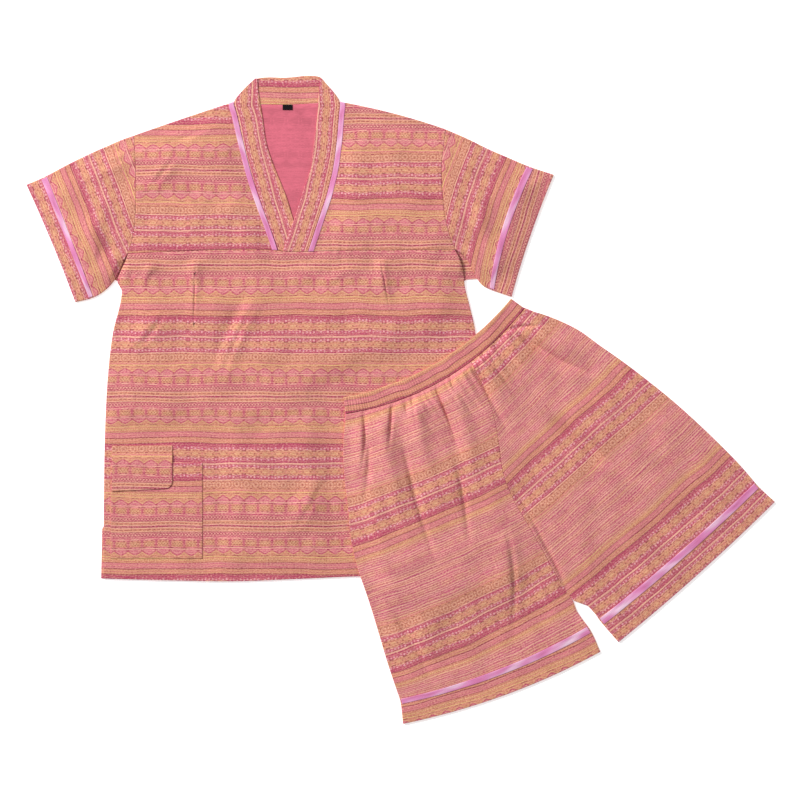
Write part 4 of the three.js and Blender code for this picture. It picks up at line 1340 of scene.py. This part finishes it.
def add_leg(side):
    cloth = leg_cloth(side)
    parts = []
    for part, level, steps, finishes, reach in (("front", shorts_level, (190, 160), LEG_UP, 0),
                                                ("back", shorts_base, (90, 50), INSIDE_UP, UNDER_BAND)):
        def plan(s, t):
            return leg_plan(side, s * LEG_END, t) + point(0 * s, reach * np.maximum(0, 1 - s * 20))
        parts.append(laid(f"{side}_leg_{part}", f"leg_{part}_{side}", plan, steps, level,
                          lambda s, t, plan: cloth(s * LEG_END, t, plan), finishes, lay_shorts))

    def hem(s):
        return mix(HEM_START, LEG_HEM, s)
    parts.append(pressed_tube(f"{side}_hem_band", f"hem_band_{side}", lambda s, t: leg_plan(side, hem(s), t),
                              (14, 100), shorts_base, shorts_level,
                              lambda s, t, plan: cloth(hem(s), t, plan, LEG_ROWS[side]["hem"]),
                              BOTH_SIDES, lay_shorts))

    def ribbon_plan(s, t):
        return leg_plan(side, np.interp(s, (0, 0.5, 1), HEM_RIBBON), mix(0.006, 0.994, t))
    parts.append(add_ribbon(side, "hem", ribbon_plan, (5, 100), shorts_level,
                            lambda s, t, plan: point(t * 310, s * RIBBON), lay_shorts))
    return parts


def add_waistband():
    def plan(s, t):
        upper = mix(-WAIST_TOP["half"], WAIST_TOP["half"], t)
        seam = mix(-WAIST_SEAM["half"], WAIST_SEAM["half"], t)
        y = mix(waist_edge(WAIST_TOP, upper), waist_edge(WAIST_SEAM, seam) + SEAM, s)
        return point(mix(upper, seam, s), y)

    def level(plan):
        return shorts_base(plan) + LAYER + BAND_BULGE

    def ribs(s, t):
        turn = 2 * math.pi * BAND_RIBS * (t + 0.0016 * np.sin(t * 61) + 0.001 * np.sin(t * 173 + 4 * s))
        strength = 0.6 + 0.4 * np.sin(t * 47 + 1.5 * s) * np.sin(t * 23 + 2)
        casing = 0.45 + 0.55 * np.abs(np.sin(math.pi * 3 * s))
        return RIB_HEIGHT * (0.5 + 0.5 * np.cos(turn)) * strength * casing

    return pressed_tube("elastic_waistband", "waistband", plan, (16, 480), shorts_base, level,
                        lambda s, t, plan: point(t * 620, 138.5 + s * 25.5), BOTH_SIDES, lay_shorts, ribs)


back = add_back()
yokes = {side: add_yoke(side) for side in SLEEVES}
collar_bands = add_collar()
front = add_front()
pocket, flap = add_pocket()
label = add_label()
arms = {side: add_sleeve(side) for side in SLEEVES}
waistband = add_waistband()
legs = {side: add_leg(side) for side in LEGS}


# Table, light and camera
PHOTO = 800                     # pixels a side
PIXEL = 1.5                     # millimetres
CAMERA_HEIGHT = 4000
SENSOR = 36
TABLE_REACH = 6                 # metres
TABLE_GAP = 0.0004
SUN_HEIGHT = 33                 # degrees over the table
SUN_BEARING = 38


def add_table():
    mesh = bpy.data.meshes.new("table top")
    corners = [(-TABLE_REACH, -TABLE_REACH, 0), (TABLE_REACH, -TABLE_REACH, 0),
               (TABLE_REACH, TABLE_REACH, 0), (-TABLE_REACH, TABLE_REACH, 0)]
    mesh.from_pydata(corners, [], [(0, 1, 2, 3)])
    floor = add_object("table_top", mesh)
    material = bpy.data.materials.new("white table")
    material.use_nodes = True
    set_inputs(material.node_tree.nodes["Principled BSDF"], {
        "Base Color": (0.94, 0.94, 0.94, 1), "Roughness": 0.9,
        "Emission Color": (1, 1, 1, 1), "Emission Strength": 0.5,
    })
    mesh.materials.append(material)
    floor.location.z = -TABLE_GAP
    return floor


def add_window_light():
    """A broad low light from the upper left, as wide as it looks from the table."""
    lamp = bpy.data.lights.new("window light", "SUN")
    lamp.energy, lamp.angle = 2.75, math.radians(14)
    lamp.color = (1, 0.975, 0.975)
    light = add_object("window light", lamp)
    light.rotation_euler = (math.radians(90 - SUN_HEIGHT), 0, math.radians(90 - SUN_BEARING + 180))


def add_near_light():
    """A weaker lamp over the upper left corner, so that the lower right is a little darker."""
    lamp = bpy.data.lights.new("near light", "AREA")
    lamp.energy, lamp.size = 8.5, 0.8
    light = add_object("near light", lamp)
    light.location = (-0.9, 1.0, 1.3)
    light.rotation_euler = (math.radians(-34), math.radians(-30), 0)


def add_camera():
    lens = bpy.data.cameras.new("camera")
    lens.sensor_width = SENSOR
    lens.lens = SENSOR * CAMERA_HEIGHT / (PHOTO * PIXEL)
    lens.clip_end = 20
    camera = add_object("camera", lens)
    camera.location = (-1.0 * MM, 0.4 * MM, (CAMERA_HEIGHT + 6) * MM)
    bpy.context.scene.camera = camera


def add_sky():
    world = bpy.data.worlds.new("studio")
    world.use_nodes = True
    set_inputs(world.node_tree.nodes["Background"], {"Color": (1, 1, 1, 1), "Strength": 0.34})
    bpy.context.scene.world = world


floor = add_table()
add_window_light()
add_near_light()
add_camera()
add_sky()
bpy.context.scene.view_settings.view_transform = "Standard"
